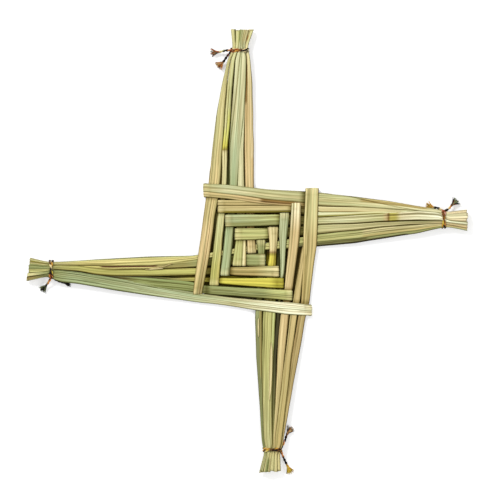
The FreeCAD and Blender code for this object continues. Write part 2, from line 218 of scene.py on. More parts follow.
# Front edges of each rush, measured in the photograph's pixels: the place along its arm,
# its inner edge, its outer edge, and how far it is sunk under its neighbours in mm.
# The first place is the end of the fold and the last is under the thread.
FRONT = {
    "north_rush_1": [
        (253.3, 256.7, 247.4), (241, 255.4, 246.8), (182, 253.9, 245.2), (150, 253.8, 244.4),
        (115, 253.0, 244.6), (82, 252.4, 246.2), (60, 250.3, 246.4), (50, 248.7, 245.9)],
    "north_rush_2": [
        (266.0, 246.2, 232.4), (240.8, 246.0, 236.0), (182, 244.4, 237.9), (150, 243.6, 239.0),
        (130, 244.2, 240.0, 0.3), (82, 246.5, 242.5, 0.6), (50, 246.5, 243.5, 0.6)],
    "north_rush_3": [
        (275.6, 229.4, 220.3), (227.5, 234.0, 225.4), (224, 234.3, 226.6), (182, 238.0, 229.7),
        (165, 239.3, 229.3), (150, 240.4, 229.1), (135, 242.0, 230.0), (115, 244.0, 231.3),
        (82, 245.9, 234.0), (60, 246.3, 235.2), (50, 246.0, 238.2)],
    "north_rush_4": [
        (285.5, 218.8, 209.0), (216, 224.6, 217.3), (206, 225.2, 219.4), (182, 226.8, 221.8),
        (150, 227.4, 222.2), (115, 230.9, 224.9), (90, 232.2, 226.6), (60, 235.0, 230.8),
        (50, 238.0, 234.4)],
    "north_rush_5": [
        (294.6, 201.5, 193.0), (282, 204.4, 194.4), (254, 210.0, 198.3), (218, 214.6, 203.2),
        (198, 218.2, 205.9), (182, 220.2, 208.9), (150, 222.3, 212.3), (115, 224.6, 216.4),
        (82, 227.2, 222.6), (60, 230.7, 227.3), (50, 234.5, 232.3)],
    "east_rush_1": [
        (234.8, 240.5, 228.4), (266, 239.3, 228.5), (319, 233.9, 224.5), (354, 230.3, 223.7),
        (385, 226.6, 221.7), (418, 224.2, 220.8), (442, 223.4, 220.6)],
    "east_rush_2": [
        (225.2, 226.9, 214.7), (279, 225.4, 214.1), (319, 224.0, 217.7), (354, 223.3, 215.1),
        (385, 221.3, 213.3), (418, 219.9, 210.9), (442, 220.4, 212.6)],
    "east_rush_3": [
        (217.8, 213.3, 205.8), (290, 212.4, 205.7), (319, 217.4, 212.0), (354, 215.1, 211.9),
        (385, 213.9, 211.3, 0.2), (400, 214.5, 211.8, 0.6), (442, 215.5, 213.4, 0.7)],
    "east_rush_4": [
        (217.6, 205.5, 200.0), (246, 205.5, 200.2, 0.2), (262, 205.5, 201.0, 0.6),
        (275, 205.7, 202.2, 0.35), (289, 205.9, 203.2), (319, 212.2, 207.5, 0.2),
        (354, 212.2, 208.0, 0.4), (385, 213.0, 209.0, 0.5), (442, 214.5, 212.5, 0.7)],
    "east_rush_5": [
        (203.6, 196.9, 191.2), (229, 198.8, 193.9), (266.6, 204.4, 199.2), (304, 206.3, 202.7),
        (319, 212.1, 206.2), (354, 212.1, 206.9), (385, 213.4, 208.7), (400, 213.8, 209.6, 0.3),
        (418, 214.5, 210.5, 0.6), (442, 215, 212, 0.7)],
    "east_rush_6": [
        (203.2, 191.7, 183.2), (229, 194.2, 184.9), (266.6, 199.4, 189.5), (305.4, 202.9, 191.5),
        (319, 205.9, 192.8), (354, 206.8, 196.4), (385, 209.2, 200.4), (418, 211.2, 206.1),
        (442, 212.9, 210.3)],
    "south_rush_1": [
        (239.6, 256.0, 265.5), (252.8, 258.0, 264.6), (258, 258.0, 263.9), (317, 255.1, 262.4),
        (357, 256.0, 262.1), (403, 259.5, 262.7), (438, 261.6, 264.0), (450, 263.1, 265.2)],
    "south_rush_2": [
        (227.0, 267.1, 278.4), (242.6, 269.7, 277.3), (252.8, 269.8, 276.0), (264.5, 267.8, 275.8),
        (300, 264, 276), (317, 263.0, 275.8), (357, 262.0, 273.5), (403, 262.6, 272.0),
        (438, 263.8, 272.4), (450, 265.1, 272.6)],
    "south_rush_3": [
        (212.8, 279.9, 289.3), (236.4, 278.9, 287.0), (257, 279.9, 285.5), (277, 280.4, 283.5),
        (281, 279.8, 282.1), (317, 276.2, 280.4, 0.3), (357, 273.4, 276.6, 0.3), (403, 271.8, 275.2, 0.4),
        (450, 272.5, 274.0, 0.3)],
    "south_rush_4": [
        (202.4, 291.8, 301.3), (226, 290.1, 300.5), (241.5, 288.9, 299.3), (290, 284.5, 292.5),
        (296, 283.8, 291.0), (317, 280.5, 288.9), (330, 278.9, 287.4), (345, 278.1, 285.9),
        (357, 277.4, 284.6), (403, 275.0, 279.6, 0.2), (438, 273, 275.6, 0.3), (450, 273.6, 275.2, 0.2)],
    "south_rush_5": [
        (189.3, 307.5, 311.0, 0.7), (240, 304.5, 308.0, 0.6), (251.7, 301.4, 306.0, 0.3),
        (270, 298.4, 303.6), (301, 293.2, 300.2), (317, 289.9, 297.0), (357, 285.0, 291.4),
        (403, 279.3, 286.2), (438, 274.8, 282.0), (450, 274.9, 280.9)],
    "south_rush_6": [
        (188.0, 305.9, 318.8), (226, 303.9, 317.7), (245, 303.4, 316.6), (302, 301.4, 309.4),
        (317, 298.0, 305.6), (357, 291.6, 298.7), (403, 286.2, 289.8), (438, 281.9, 283.8),
        (450, 280.8, 282.0)],
    "west_rush_1": [
        (265.3, 253.9, 266.2), (248, 254.1, 266.0), (240, 254.4, 264.7), (192, 260.3, 267.2),
        (172, 262.8, 268.3), (160, 264.0, 268.6, 0.2), (149, 265.0, 268.6, 0.3), (113, 265.6, 269.3, 0.5),
        (78, 265.4, 268.0, 0.6), (53, 264.6, 267.0, 0.5)],
    "west_rush_2": [
        (279.0, 265.7, 277.1), (232, 267.1, 275.2), (229, 267.2, 274.3), (192, 268.0, 275.2),
        (149, 269.5, 276.0), (113, 269.2, 276.0), (96, 268.0, 274.6), (78, 265.9, 271.0),
        (60, 265.4, 269.6), (53, 265.1, 269.3)],
    "west_rush_3": [
        (283.6, 278.0, 288.4), (273, 277.9, 288.0), (220, 277.9, 284.0), (217, 277.9, 283.4),
        (192, 277.3, 281.1), (175, 277.8, 281.0, 0.2), (150, 276.0, 280.0, 0.5), (113, 272.0, 276.0, 0.7),
        (53, 267.0, 269.4, 0.6)],
    "west_rush_4": [
        (292.3, 290.2, 300.6), (204, 285.4, 293.6), (192, 281.5, 291.8), (149, 277.7, 287.0, 0.15),
        (130, 276.5, 284, 0.4), (113, 275.5, 281.0, 0.6), (53, 269.2, 272.0, 0.6)],
    "west_rush_5": [
        (312.0, 305.0, 316.0), (287, 302.2, 314.6), (256, 300.2, 310.2), (226, 297.0, 305.6),
        (185, 291.0, 300.6), (149, 283.8, 295.5), (113, 277.7, 290.2), (78, 271.9, 283.9),
        (60, 269.6, 282.0), (53, 269.3, 279.5)],
}

# The king rush runs right across: its places along, its lower and its upper edge
KING_FRONT = [
    (53, 265.0, 261.8), (60, 265.4, 261.6), (78, 265.9, 260.7), (113, 266.1, 258.4), (149, 265.7, 256.4),
    (172, 263.8, 256.0), (192, 260.6, 255.7), (256.6, 250.5, 244.5), (319, 246.5, 234.3),
    (354, 243.2, 230.6), (385, 238.5, 227.0), (418, 233.2, 224.4), (442, 227.8, 222.8),
]


def srgb(red, green, blue):
    # Colour as it looks on screen, 0 to 255, turned to linear light
    values = np.array([red, green, blue]) / 255
    return np.where(values <= 0.04045, values / 12.92, ((values + 0.055) / 1.055) ** 2.4)


def smooth(share):
    share = np.clip(share, 0, 1)
    return share * share * (3 - 2 * share)


class Wander:
    # Smooth random curve, the same each run for the same seed
    def __init__(self, seed, step):
        self.values = np.random.RandomState(seed).uniform(-1, 1, 400)
        self.step = step

    def at(self, distance):
        place = np.asarray(distance) / self.step + 50
        first = np.floor(place).astype(int)
        share = smooth(place - first)
        return self.values[first % 400] * (1 - share) + self.values[(first + 1) % 400] * share


def along_arm(arm, place):
    # A place along the arm, in the photograph's pixels, as a distance out
    axis, outward, _ = ARM_PIXELS[arm]
    return outward * (place - PHOTO_MIDDLE[axis]) * PHOTO_PIXEL


def measured(arm, places):
    # Pixels of the photograph turned into the arm's own frame: out, inner edge, outer edge, sink
    axis, _, sign = ARM_PIXELS[arm]
    rows = []
    for place, inner, outer, *sink in places:
        edges = [sign * (edge - PHOTO_MIDDLE[1 - axis]) * PHOTO_PIXEL for edge in (inner, outer)]
        rows.append([along_arm(arm, place), *edges, sum(sink) * MM])
    return np.array(sorted(rows))


def arm_axes(angle):
    turn = math.radians(angle)
    out = np.array([math.cos(turn), math.sin(turn), 0])
    aside = np.array([-math.sin(turn), math.cos(turn), 0])
    return np.array([out, aside, [0, 0, 1]])


def node_corners(node, axes):
    # The node's corners in the frame of its arm: out, aside, up
    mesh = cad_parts[node].data
    places = np.empty(len(mesh.vertices) * 3)
    mesh.vertices.foreach_get("co", places)
    places = np.unique(np.round(places.reshape(-1, 3), 6), axis=0)
    return places @ axes.T


def split_stations(corners):
    # Corners at one distance out make a station; the first two are the cut tips
    corners = corners[np.argsort(-corners[:, 0])]
    groups = []
    for corner in corners:
        if groups and groups[-1][0][0] - corner[0] < STATION_SLACK:
            groups[-1].append(corner)
        else:
            groups.append([corner])
    return [np.array(group) for group in groups]


def station_from(corners, face):
    # Left and right edge, and the near and far level at each side
    corners = corners[np.argsort(corners[:, 1])]
    left, right = corners[0], corners[-1]
    levels = []
    for pair in (corners[1:3], corners[3:5]):
        low, high = sorted(pair[:, 2])
        levels.append((low, high) if face > 0 else (high, low))
    near = [levels[0][0], levels[1][0]]
    far = [levels[0][1], levels[1][1]]
    return {"left": left[:2], "right": right[:2], "near": near, "far": far}


def read_rush(node, arm):
    # Stations of both halves from the cut tip to beside the fold, and the fold's axis
    axes = arm_axes(ARM_ANGLE[arm])
    corners = node_corners(node, axes)
    corners = corners[np.argsort(-corners[:, 0])]
    tips = corners[:12]
    tips = tips[np.argsort(-tips[:, 2])]
    rest = split_stations(corners[12:])
    halves = {}
    for face, tip in ((1, tips[:6]), (-1, tips[6:])):
        stations = [station_from(tip, face)]
        for group in rest[:5]:
            order = np.argsort(-face * group[:, 2])
            stations.append(station_from(group[order[:6]], face))
        halves[face] = stations
    bend = np.vstack(rest[5:])
    top = bend[np.argsort(-bend[:, 2])[:2]]
    top = top[np.argsort(top[:, 1])]
    along_axis = (top[1] - top[0])[:2]
    pinch = along_axis / np.linalg.norm(along_axis) * EDGE_PINCH
    middle_plane = (bend[:, 2].max() + bend[:, 2].min()) / 2
    return {
        "arm": arm, "axes": axes, "halves": halves, "plane": middle_plane,
        "left": top[0][:2] - pinch, "right": top[1][:2] + pinch, "far": bend[:, 2].max() - middle_plane,
    }


def read_levels(rush, face):
    # The node's own edges and levels from beside the fold out to the cut tip
    rows = []
    for key in rush["halves"][face][::-1]:
        out = (key["left"][0] + key["right"][0]) / 2
        rows.append([out, key["left"][1], key["right"][1], *key["near"], *key["far"]])
    return np.array(rows)


def softened(values, steps):
    # Moving average that keeps the ends
    kernel = np.exp(-(np.arange(-3 * steps, 3 * steps + 1) / steps) ** 2)
    kernel /= kernel.sum()
    padded = np.pad(values, 3 * steps, mode="reflect", reflect_type="odd")
    return np.convolve(padded, kernel, mode="valid")


def between(places, stops, values):
    # Values of three parts each, read at places between stops
    parts = np.transpose(values)
    return np.stack([np.interp(places, stops, part) for part in parts], axis=-1)


def edges_along(table, out):
    # Both edges at places along an arm, from rows that start with out, left edge, right edge
    return np.interp(out, table[:, 0], table[:, 1]), np.interp(out, table[:, 0], table[:, 2])


def levels_along(levels, out):
    # Both edges, both near levels and both far levels at places along an arm
    return [np.interp(out, levels[:, 0], levels[:, column]) for column in range(1, 7)]


def eased_edges(front, out, left, right, own):
    # The measured edges, eased into the node's own, a little wider, where own goes to one
    seen_left, seen_right = edges_along(front, out)
    left = softened(seen_left * (1 - own) + (left - NODE_SPREAD) * own, EDGE_ROWS)
    right = softened(seen_right * (1 - own) + (right + NODE_SPREAD) * own, EDGE_ROWS)
    return left, right


def folds_beside(rush, rushes):
    # The folds of the two arms beside this rush's, in the frame of its arm: each one's reach out,
    # the place aside of its outermost line, and the side of it that it encloses
    places = []
    for other in rushes.values():
        turned = other["axes"] @ rush["axes"].T
        if abs(turned[0][1]) < 0.5:
            continue
        first, last = [np.array([other["front"][0, 0], other[edge][1], 0]) @ turned
                       for edge in ("left", "right")]
        low, high = sorted((first[0], last[0]))
        places.append((low, high, first[1], math.copysign(1, turned[0][1])))
    return places


def king_edges(arm, out):
    # The king rush's measured edges in the frame of the east or the west arm
    front = measured("east", KING_FRONT)
    if arm == "east":
        return edges_along(front, out)
    left, right = edges_along(front, -out)
    return -right, -left


def back_edges(node, rushes, out):
    # Edges of a back half, moved out to meet its neighbours half way, and never past the front
    rush = rushes[node]
    levels = read_levels(rush, -1)
    left, right = edges_along(levels, out)
    seen_left, seen_right = edges_along(rush["front"], out)
    left_limit = np.full(len(out), -1.0)
    right_limit = np.full(len(out), 1.0)
    outline_left, outline_right = seen_left, seen_right
    for name, other in rushes.items():
        if name == node or other["arm"] != rush["arm"]:
            continue
        other_left, other_right = edges_along(read_levels(other, -1), out)
        laid = out > other["left"][0]
        later = laid & (other_left + other_right > left + right)
        earlier = laid & ~later
        right_limit = np.where(later, np.minimum(right_limit, other_left), right_limit)
        left_limit = np.where(earlier, np.maximum(left_limit, other_right), left_limit)
        other_seen_left, other_seen_right = edges_along(other["front"], out)
        outline_left = np.where(laid, np.minimum(outline_left, other_seen_left), outline_left)
        outline_right = np.where(laid, np.maximum(outline_right, other_seen_right), outline_right)
    new_left = left - np.clip((left - left_limit - BACK_GAP) / 2, 0, None)
    new_right = right + np.clip((right_limit - right - BACK_GAP) / 2, 0, None)
    new_left = np.where(left - new_left > WIDEST_FILL, left, new_left)
    new_right = np.where(new_right - right > WIDEST_FILL, right, new_right)
    if rush["arm"] in ("east", "west"):
        king_left, king_right = king_edges(rush["arm"], out)
        outline_left = np.minimum(outline_left, king_left)
        beside = node.endswith("_1") & (left - king_right < WIDEST_FILL)
        new_left = np.where(beside, np.minimum(new_left, king_right + BACK_GAP), new_left)
    new_left, new_right = beside_folds(rush, rushes, out, (left, right), (new_left, new_right))
    within = out < levels[3, 0]
    new_left = np.where(within, np.maximum(new_left, outline_left), new_left)
    new_right = np.where(within, np.minimum(new_right, outline_right), new_right)
    same_edges = SAME_EDGES_OUTERMOST if node in OUTERMOST else SAME_EDGES
    same = 1 - smooth((out - out[0]) / same_edges)
    return new_left * (1 - same) + seen_left * same, new_right * (1 - same) + seen_right * same


def beside_folds(rush, rushes, out, own, moved):
    # Where another arm's fold comes down beside a back half, the edge outside it reaches to it,
    # and the edge that it encloses stays as the node has it
    own = dict(zip((-1, 1), own))
    moved = dict(zip((-1, 1), moved))
    middle = (own[-1] + own[1]) / 2
    for low, high, aside, side in folds_beside(rush, rushes):
        inside = smooth((out - low) / FOLD_EASE + 0.3) * smooth((high - out) / FOLD_EASE + 0.3)
        outside = (middle - aside) * side < 0
        near, far = own[side], own[-side]
        reached = outside & (side * (aside - near) < FOLD_ROOM)
        reach = np.where(reached, aside - side * BACK_GAP, moved[side])
        reach = side * np.maximum(side * reach, side * near)
        moved[side] = moved[side] * (1 - inside) + np.where(outside, reach, moved[side]) * inside
        held = ~outside & (np.abs(far - aside) < FOLD_ROOM)
        moved[-side] = np.where(held, moved[-side] * (1 - inside) + far * inside, moved[-side])
    return moved[-1], moved[1]


def strip_rows(out, edges, near, far, face, **along):
    # Rows of a strip from values along it: both edges, the levels of its near and far face at
    # each edge, and what else changes along it
    rows = []
    for index in range(len(out)):
        ends = [np.array([out[index], edges[side][index], (near[side][index] + far[side][index]) / 2])
                for side in (0, 1)]
        half = tuple(abs(far[side][index] - near[side][index]) / 2 for side in (0, 1))
        rows.append({
            "left": ends[0], "right": ends[1], "half": half, "normal": np.array([0, 0, face]),
            "out": out[index], **{name: values[index] for name, values in along.items()},
        })
    return rows


def half_path(node, rushes, face):
    # Rows from the fold out to the cut tip. The front follows the measured edges as far as the
    # thread, and the back follows the node's own.
    rush = rushes[node]
    front = rush["front"]
    levels = read_levels(rush, face)
    fold = front[0, 0] + rush["far"] - front[0, 3]
    outward = levels[:, 0]
    covered, shoulder, waist_in, waist_out, tip = outward[1:]
    count = int((tip - fold) / ROW_STEP)
    out = np.linspace(fold, tip, count)
    left, right, near_left, near_right, far_left, far_right = levels_along(levels, out)
    top = rush["plane"] + face * rush["far"]
    low = top - face * RUSH_THICKNESS
    for values, level in ((near_left, low), (near_right, low), (far_left, top), (far_right, top)):
        values[out < outward[0]] = level
    tied = smooth((out - shoulder) / (waist_in - shoulder))
    if face > 0:
        own = smooth((out - waist_in) / (waist_out - waist_in))
        sink = np.interp(out, front[:, 0], front[:, 3]) * (1 - own)
        left, right = eased_edges(front, out, left, right, own)
    else:
        sink = np.zeros(count)
        left, right = back_edges(node, rushes, out)
    near = [softened(level, LEVEL_ROWS) - face * sink * (1 - tied) for level in (near_left, near_right)]
    far = [softened(level, LEVEL_ROWS) - face * sink for level in (far_left, far_right)]
    # Painted shade where other rushes lie over this one
    hidden = smooth((out - covered + HIDDEN_START) / HIDDEN_EASE)
    hidden *= smooth((shoulder - HIDDEN_END - out) / HIDDEN_EASE_OUT)
    # Faces that look into the weave get painted shade, which eases off past the thread
    inner = INNER_SHADE + (1 - INNER_SHADE) * smooth((out - waist_out) / INNER_EASE)
    return strip_rows(out, (left, right), near, far, face,
                      distance=out - fold, tied=tied, hidden=hidden, inner=inner)


def bend_rows(rush, first, last):
    # Half a turn from the front half to the back half
    half = RUSH_THICKNESS / 2
    radius = rush["far"] - rush["front"][0, 3] - half
    rows = []
    for step in range(1, BEND_STEPS):
        angle = math.pi * step / BEND_STEPS
        share = step / BEND_STEPS
        normal = np.array([-math.sin(angle), 0, math.cos(angle)])
        ends = {}
        for name in ("left", "right"):
            start = first[name] * (1 - share) + last[name] * share
            ends[name] = np.array([first["out"], start[1], rush["plane"]]) + normal * radius
        # The fold's inner face takes the painted shade of faces that look into the weave
        rows.append({
            **ends, "half": (half, half), "normal": normal, "out": first["out"],
            "distance": radius * angle, "tied": 0.0, "hidden": 0.0, "inner": INNER_SHADE,
        })
    return rows


def rush_rows(node, rushes):
    # Rows from the front tip, round the fold, to the back tip
    rush = rushes[node]
    before = half_path(node, rushes, 1)
    after = half_path(node, rushes, -1)
    bend = bend_rows(rush, before[0], after[0])
    turn = math.pi * (rush["far"] - RUSH_THICKNESS / 2)
    for row in before:
        row["distance"] *= -1
    for row in after:
        row["distance"] += turn
    return before[::-1] + bend + after


def king_rows(front):
    # Rows of the king rush from one cut tip to the other, in the frame of the east arm
    groups = split_stations(node_corners("king_rush", arm_axes(0)))
    levels = []
    for group in groups:
        if len(group) == 6:
            key = station_from(group, 1)
            levels.append([key["left"][0], key["left"][1], key["right"][1], *key["near"], *key["far"]])
    levels = np.array(sorted(map(tuple, levels)))
    outward = levels[:, 0]
    count = int((outward[-1] - outward[0]) / ROW_STEP)
    out = np.linspace(outward[0], outward[-1], count)
    left, right, *faces = levels_along(levels, out)
    own = 1 - smooth((out - outward[1]) / (outward[2] - outward[1]))
    own += smooth((out - outward[-3]) / (outward[-2] - outward[-3]))
    edges = eased_edges(front, out, left, right, own)
    faces = [softened(level, LEVEL_ROWS) for level in faces]
    west_shoulder, east_shoulder = outward[3], outward[-4]
    tied = smooth((out - east_shoulder) / (outward[-3] - east_shoulder))
    tied = tied + smooth((west_shoulder - out) / (west_shoulder - outward[2]))
    rows = strip_rows(out, edges, faces[:2], faces[2:], 1, distance=out, tied=tied,
                      hidden=np.zeros(count), inner=np.ones(count))
    return rows[::-1]


def across_places(count):
    # Places across the strip, closer together at its edges
    share = np.linspace(-1, 1, count)
    return np.sin(share * math.pi / 2) * 0.6 + share * 0.4


class Relief:
    # Ridges, pleats and fine lines across a rush, which come and go along it
    def __init__(self, seed, ridges, pleats, creases):
        random = np.random.RandomState(seed)
        self.waves = []
        for number in range(WAVES):
            pitch = ridges * random.uniform(0.5, 2.2)
            swell = Wander(seed * 5 + number, random.uniform(14, 40) * MM)
            drift = Wander(seed * 5 + number + 30, 45 * MM)
            self.waves.append((pitch, random.uniform(0, 7), swell, drift))
        self.grooves = []
        for number in range(pleats + FINE_GROOVES):
            centre = random.uniform(-0.8, 0.8)
            drift = random.uniform(-0.35, 0.35)
            wander = Wander(seed * 7 + number, 26 * MM)
            fade = Wander(seed * 7 + number + 50, random.uniform(9, 24) * MM)
            width = random.uniform(0.03, 0.06)
            self.grooves.append((centre, centre + drift, width, random.uniform(0.5, 1), wander, fade))
        for number, (start, end, width, depth) in enumerate(creases):
            wander = Wander(seed * 13 + number, 24 * MM)
            self.grooves.append((start, end, width, depth, wander, None))

    def at(self, across, distance):
        height = np.zeros_like(across)
        for pitch, phase, swell, drift in self.waves:
            weight = 0.5 + 0.5 * swell.at(distance)
            height += weight * np.cos(math.pi * pitch * across + phase + 2 * drift.at(distance))
        height *= WAVE_HEIGHT
        groove = np.zeros_like(across)
        along = min(abs(distance) / CREASE_LENGTH, 1)
        for start, end, width, depth, wander, fade in self.grooves:
            place = start * (1 - along) + end * along + 0.05 * wander.at(distance)
            if fade is not None:
                depth = depth * smooth(0.5 + 1.3 * fade.at(distance))
            groove += depth * np.exp(-((across - place) / width) ** 2)
        return height, groove


def make_rush(node, axes, rows, look, seed):
    # One rush as a closed strip through its rows, with what its straw needs to know at each point
    wander = [Wander(seed * 11 + number + 1, step) for number, step in enumerate(WANDER_STEPS)]
    relief = Relief(seed, look["ridges"], look["pleats"], look["creases"])
    random = np.random.RandomState(seed + 900)
    outer_places = across_places(ACROSS_FAR)
    inner_places = across_places(ACROSS_NEAR)[::-1][1:-1]
    places = np.concatenate([outer_places, inner_places])
    side = np.concatenate([np.ones(len(outer_places)), -np.ones(len(inner_places))])
    share = (places + 1) / 2
    crumple = random.uniform(-1, 1, (2, len(places)))[0]
    vertices = []
    fibre = []
    tones = []
    shades = []
    for row in rows:
        distance = row["distance"]
        behind = row["normal"][2] < 0
        wobble_left, wobble_right, swell, tilt, band = [curve.at(distance) for curve in wander]
        knuckle = knuckle_swell(look, row["out"])
        grow = BACK_SPREAD if behind else look["spread"] + knuckle
        aside = row["right"] - row["left"]
        aside = aside / np.linalg.norm(aside)
        left = row["left"] - aside * (grow + WOBBLE * wobble_left)
        right = row["right"] + aside * (grow + WOBBLE * wobble_right)
        width = np.linalg.norm(right - left)
        inside = (1 - np.abs(places)) * width / 2
        half = row["half"][0] + (row["half"][1] - row["half"][0]) * share
        corner = np.minimum(CORNER_RADIUS * (1 + row["tied"]), np.minimum(half, width / 2))
        edge_drop = corner * (1 - np.sqrt(np.clip(1 - (1 - np.clip(inside / corner, 0, 1)) ** 2, 0, 1)))
        height, groove = relief.at(places, distance)
        outer = height * RIDGE * (1 + TIED_RIDGE * row["tied"])
        outer -= groove * look["depth"] * (1 + row["tied"])
        outer += CRUMPLE * crumple * math.exp(-(distance / CRUMPLE_REACH) ** 2)
        outer += knuckle * KNUCKLE_RISE
        outer += CROWN * (1 - places ** 2) + TILT * places * tilt
        outer *= 1 - np.abs(places) ** 6
        if behind:
            outer = np.minimum(outer - BACK_FLATTER, 0)
        lift = side * (half * (1 + THICKER * swell) - edge_drop) + (side > 0) * outer
        vertices.append(left + (right - left) * share[:, None] + row["normal"] * lift[:, None])
        fibre.append(np.stack([places * width / 2 + (side < 0) * FACES_APART,
                               np.full(len(places), distance),
                               np.full(len(places), seed * RUSHES_APART)], axis=1))
        # Painted shade on the rim of each edge, deepest where an edge faces down and right, as if lit
        # from up and left
        lower = np.clip(0.5 + LOWER_CONTRAST * (aside @ axes @ LOWER_RIGHT) * places, 0, 1)
        edge = EDGE_SHADE + (EDGE_SHADE_LOW - EDGE_SHADE) * lower
        edge_width = np.minimum(EDGE_WIDTH + EDGE_WIDTH_LOW * lower, width * EDGE_WIDEST)
        rim = np.clip(1 - inside / edge_width, 0, 1)
        # A painted highlight just inside each edge and on ridges, painted shade in grooves and in a line
        # beside the fold, and darker where others hide the rush
        rim_highlight = np.exp(-((inside - RIM_HIGHLIGHT_PLACE) / RIM_HIGHLIGHT_WIDTH) ** 2)
        fold_shade = math.exp(-((abs(distance) - FOLD_SHADE_PLACE) / FOLD_SHADE_WIDTH) ** 2)
        shade = 1.0 + RIDGE_LIGHT * height - GROOVE_DARK * np.clip(groove, 0, 1) + RIM_HIGHLIGHT * rim_highlight
        shade += BAND_LIGHT * band * np.sin(2.2 * places + seed)
        shade -= FOLD_SHADE_LINE * (0.6 + 0.4 * np.sin(3.1 * places + seed)) * fold_shade
        shade *= (1 - (1 - edge) * rim) * (1 - HIDDEN_PAINTED_SHADE * row["hidden"])
        # Faces that look into the weave take the painted shade of their row
        shades.append(np.where(side > 0, shade, shade * row["inner"]))
        tones.append(tone_across(look, row, places))
    ragged_end(vertices[0], places, random, 1)
    ragged_end(vertices[-1], places, random, 1 if rows[-1]["out"] > 0 else -1)
    piece = tube_mesh(node + "_straw", axes, vertices)
    for name, kind, values in (("fibre", "FLOAT_VECTOR", fibre), ("tone", "FLOAT_COLOR", tones),
                               ("shade", "FLOAT", shades)):
        # The points of the sunk ends take the values of the first and the last row
        values = np.concatenate([*values, values[0], values[-1], values[0][:1], values[-1][-1:]])
        add_attribute(piece, name, kind, values)
    return piece


def ragged_end(points, places, random, outward):
    # A cut across the stalk that isn't quite straight and stays inside the node
    slant = random.uniform(-0.22, 0.22) * MM
    cut = slant * places + random.uniform(-0.25, 0, len(places)) * MM
    points[:, 0] += outward * (cut - cut.max())


def knuckle_swell(look, out):
    # Extra half width where the stalk has a knuckle
    swell = 0.0
    for place, size in look["knuckles"]:
        swell += size * math.exp(-((out - place) / KNUCKLE_REACH) ** 2)
    return swell


def tone_across(look, row, places):
    # Base colour of the straw: stops along the arm, then stripes of its own across it. Some stops and
    # stripes are painted shadow, and the fold turns toward cream as a painted highlight
    out = row["out"]
    stops, colours = zip(*look["stops"])
    tone = np.tile(between(out, stops, colours), (len(places), 1))
    for colour, start, end, first, last in look["stripes"]:
        share = smooth((places - start) / STRIPE_EASE) * smooth((end - places) / STRIPE_EASE)
        share = share * smooth((out - first) / STRIPE_END) * smooth((last - out) / STRIPE_END)
        tone = tone * (1 - share[:, None]) + colour * share[:, None]
    # A painted highlight: the fold's rounded end turns toward cream
    fold_highlight = look["fold_highlight"] * math.exp(-(row["distance"] / FOLD_HIGHLIGHT_REACH) ** 2)
    return tone * (1 - fold_highlight) + CREAM * fold_highlight


def ring_faces(first, second, ring):
    # Faces between two rings of points, from the numbers of their first points
    corners = [(corner, (corner + 1) % ring) for corner in range(ring)]
    return [(first + this, first + after, second + after, second + this) for this, after in corners]


def point_faces(first, point, ring, outward):
    # Faces between a ring of points and one point
    faces = []
    for corner in range(ring):
        rim = (first + corner, first + (corner + 1) % ring)
        faces.append((*(rim if outward else rim[::-1]), point))
    return faces


def tube_mesh(name, axes, rows):
    # Closed tube through rows of points. The middle of each cut end is set back, but the king
    # rush's west end bulges.
    ring = len(rows[0])
    inset = np.array([CUT_INSET, 0, 0])
    middles = [rows[end].mean(axis=0) - inset for end in (0, -1)]
    rings = [rows[end] + (middle - rows[end]) * CUT_RIM for end, middle in zip((0, -1), middles)]
    points = np.concatenate([*rows, *rings, middles])
    first = len(rows) * ring
    last = first + ring
    faces = []
    for row in range(len(rows) - 1):
        faces += ring_faces(row * ring, (row + 1) * ring, ring)
    faces += ring_faces(first, 0, ring) + point_faces(first, last + ring, ring, False)
    faces += ring_faces(first - ring, last, ring) + point_faces(last, last + ring + 1, ring, True)
    return new_piece(name, points @ axes, faces)


def new_piece(name, points, faces):
    mesh = bpy.data.meshes.new(name)
    mesh.from_pydata(points.tolist(), [], faces)
    mesh.validate()
    mesh.shade_smooth()
    mesh.update()
    return new_object(name, mesh)


def new_object(name, data):
    thing = bpy.data.objects.new(name, data)
    bpy.context.scene.collection.objects.link(thing)
    return thing


def add_attribute(piece, name, kind, values):
    # Values for each point of a piece; tones get an opacity of one
    if kind == "FLOAT_COLOR":
        values = np.hstack([values, np.ones((len(values), 1))])
    attribute = piece.data.attributes.new(name, kind, "POINT")
    field = {"FLOAT_VECTOR": "vector", "FLOAT_COLOR": "color", "FLOAT": "value"}[kind]
    attribute.data.foreach_set(field, np.ravel(values).astype(np.float32))


class NodeTree:
    # The nodes of a material or of the world
    def __init__(self, owner):
        owner.use_nodes = True
        self.nodes = owner.node_tree.nodes
        self.links = owner.node_tree.links
        self.nodes.clear()

    def feed(self, socket, value):
        # Gives an input its number or colour, or the output that it takes its value from
        if isinstance(value, (int, float, tuple)):
            socket.default_value = value
        else:
            self.links.new(value, socket)

    def add(self, kind, **inputs):
        # A new node; an input's name has underscores in place of its spaces
        node = self.nodes.new("ShaderNode" + kind)
        for name, value in inputs.items():
            self.feed(node.inputs[name.replace("_", " ")], value)
        return node

    def attribute(self, name):
        node = self.add("Attribute")
        node.attribute_name = name
        return node.outputs

    def math(self, operation, first, second):
        node = self.add("Math")
        node.operation = operation
        self.feed(node.inputs[0], first)
        self.feed(node.inputs[1], second)
        return node.outputs[0]

    def spread(self, value, low, high, to_low, to_high):
        return self.add("MapRange", Value=value, From_Min=low, From_Max=high,
                        To_Min=to_low, To_Max=to_high).outputs[0]

    def mix(self, kind, factor, first, second):
        node = self.add("Mix")
        node.data_type = "RGBA"
        node.blend_type = kind
        enabled = {socket.name: socket for socket in node.inputs if socket.enabled}
        for name, value in (("Factor", factor), ("A", first), ("B", second)):
            self.feed(enabled[name], value)
        return [socket for socket in node.outputs if socket.enabled][0]

    def bump(self, strength, distance, height):
        return self.add("Bump", Strength=strength, Distance=distance, Height=height).outputs[0]

    def seen(self):
        # One where the camera looks straight at it or sees it in a reflection
        path = self.add("LightPath").outputs
        return self.math("MAXIMUM", path["Is Camera Ray"], path["Is Glossy Ray"])


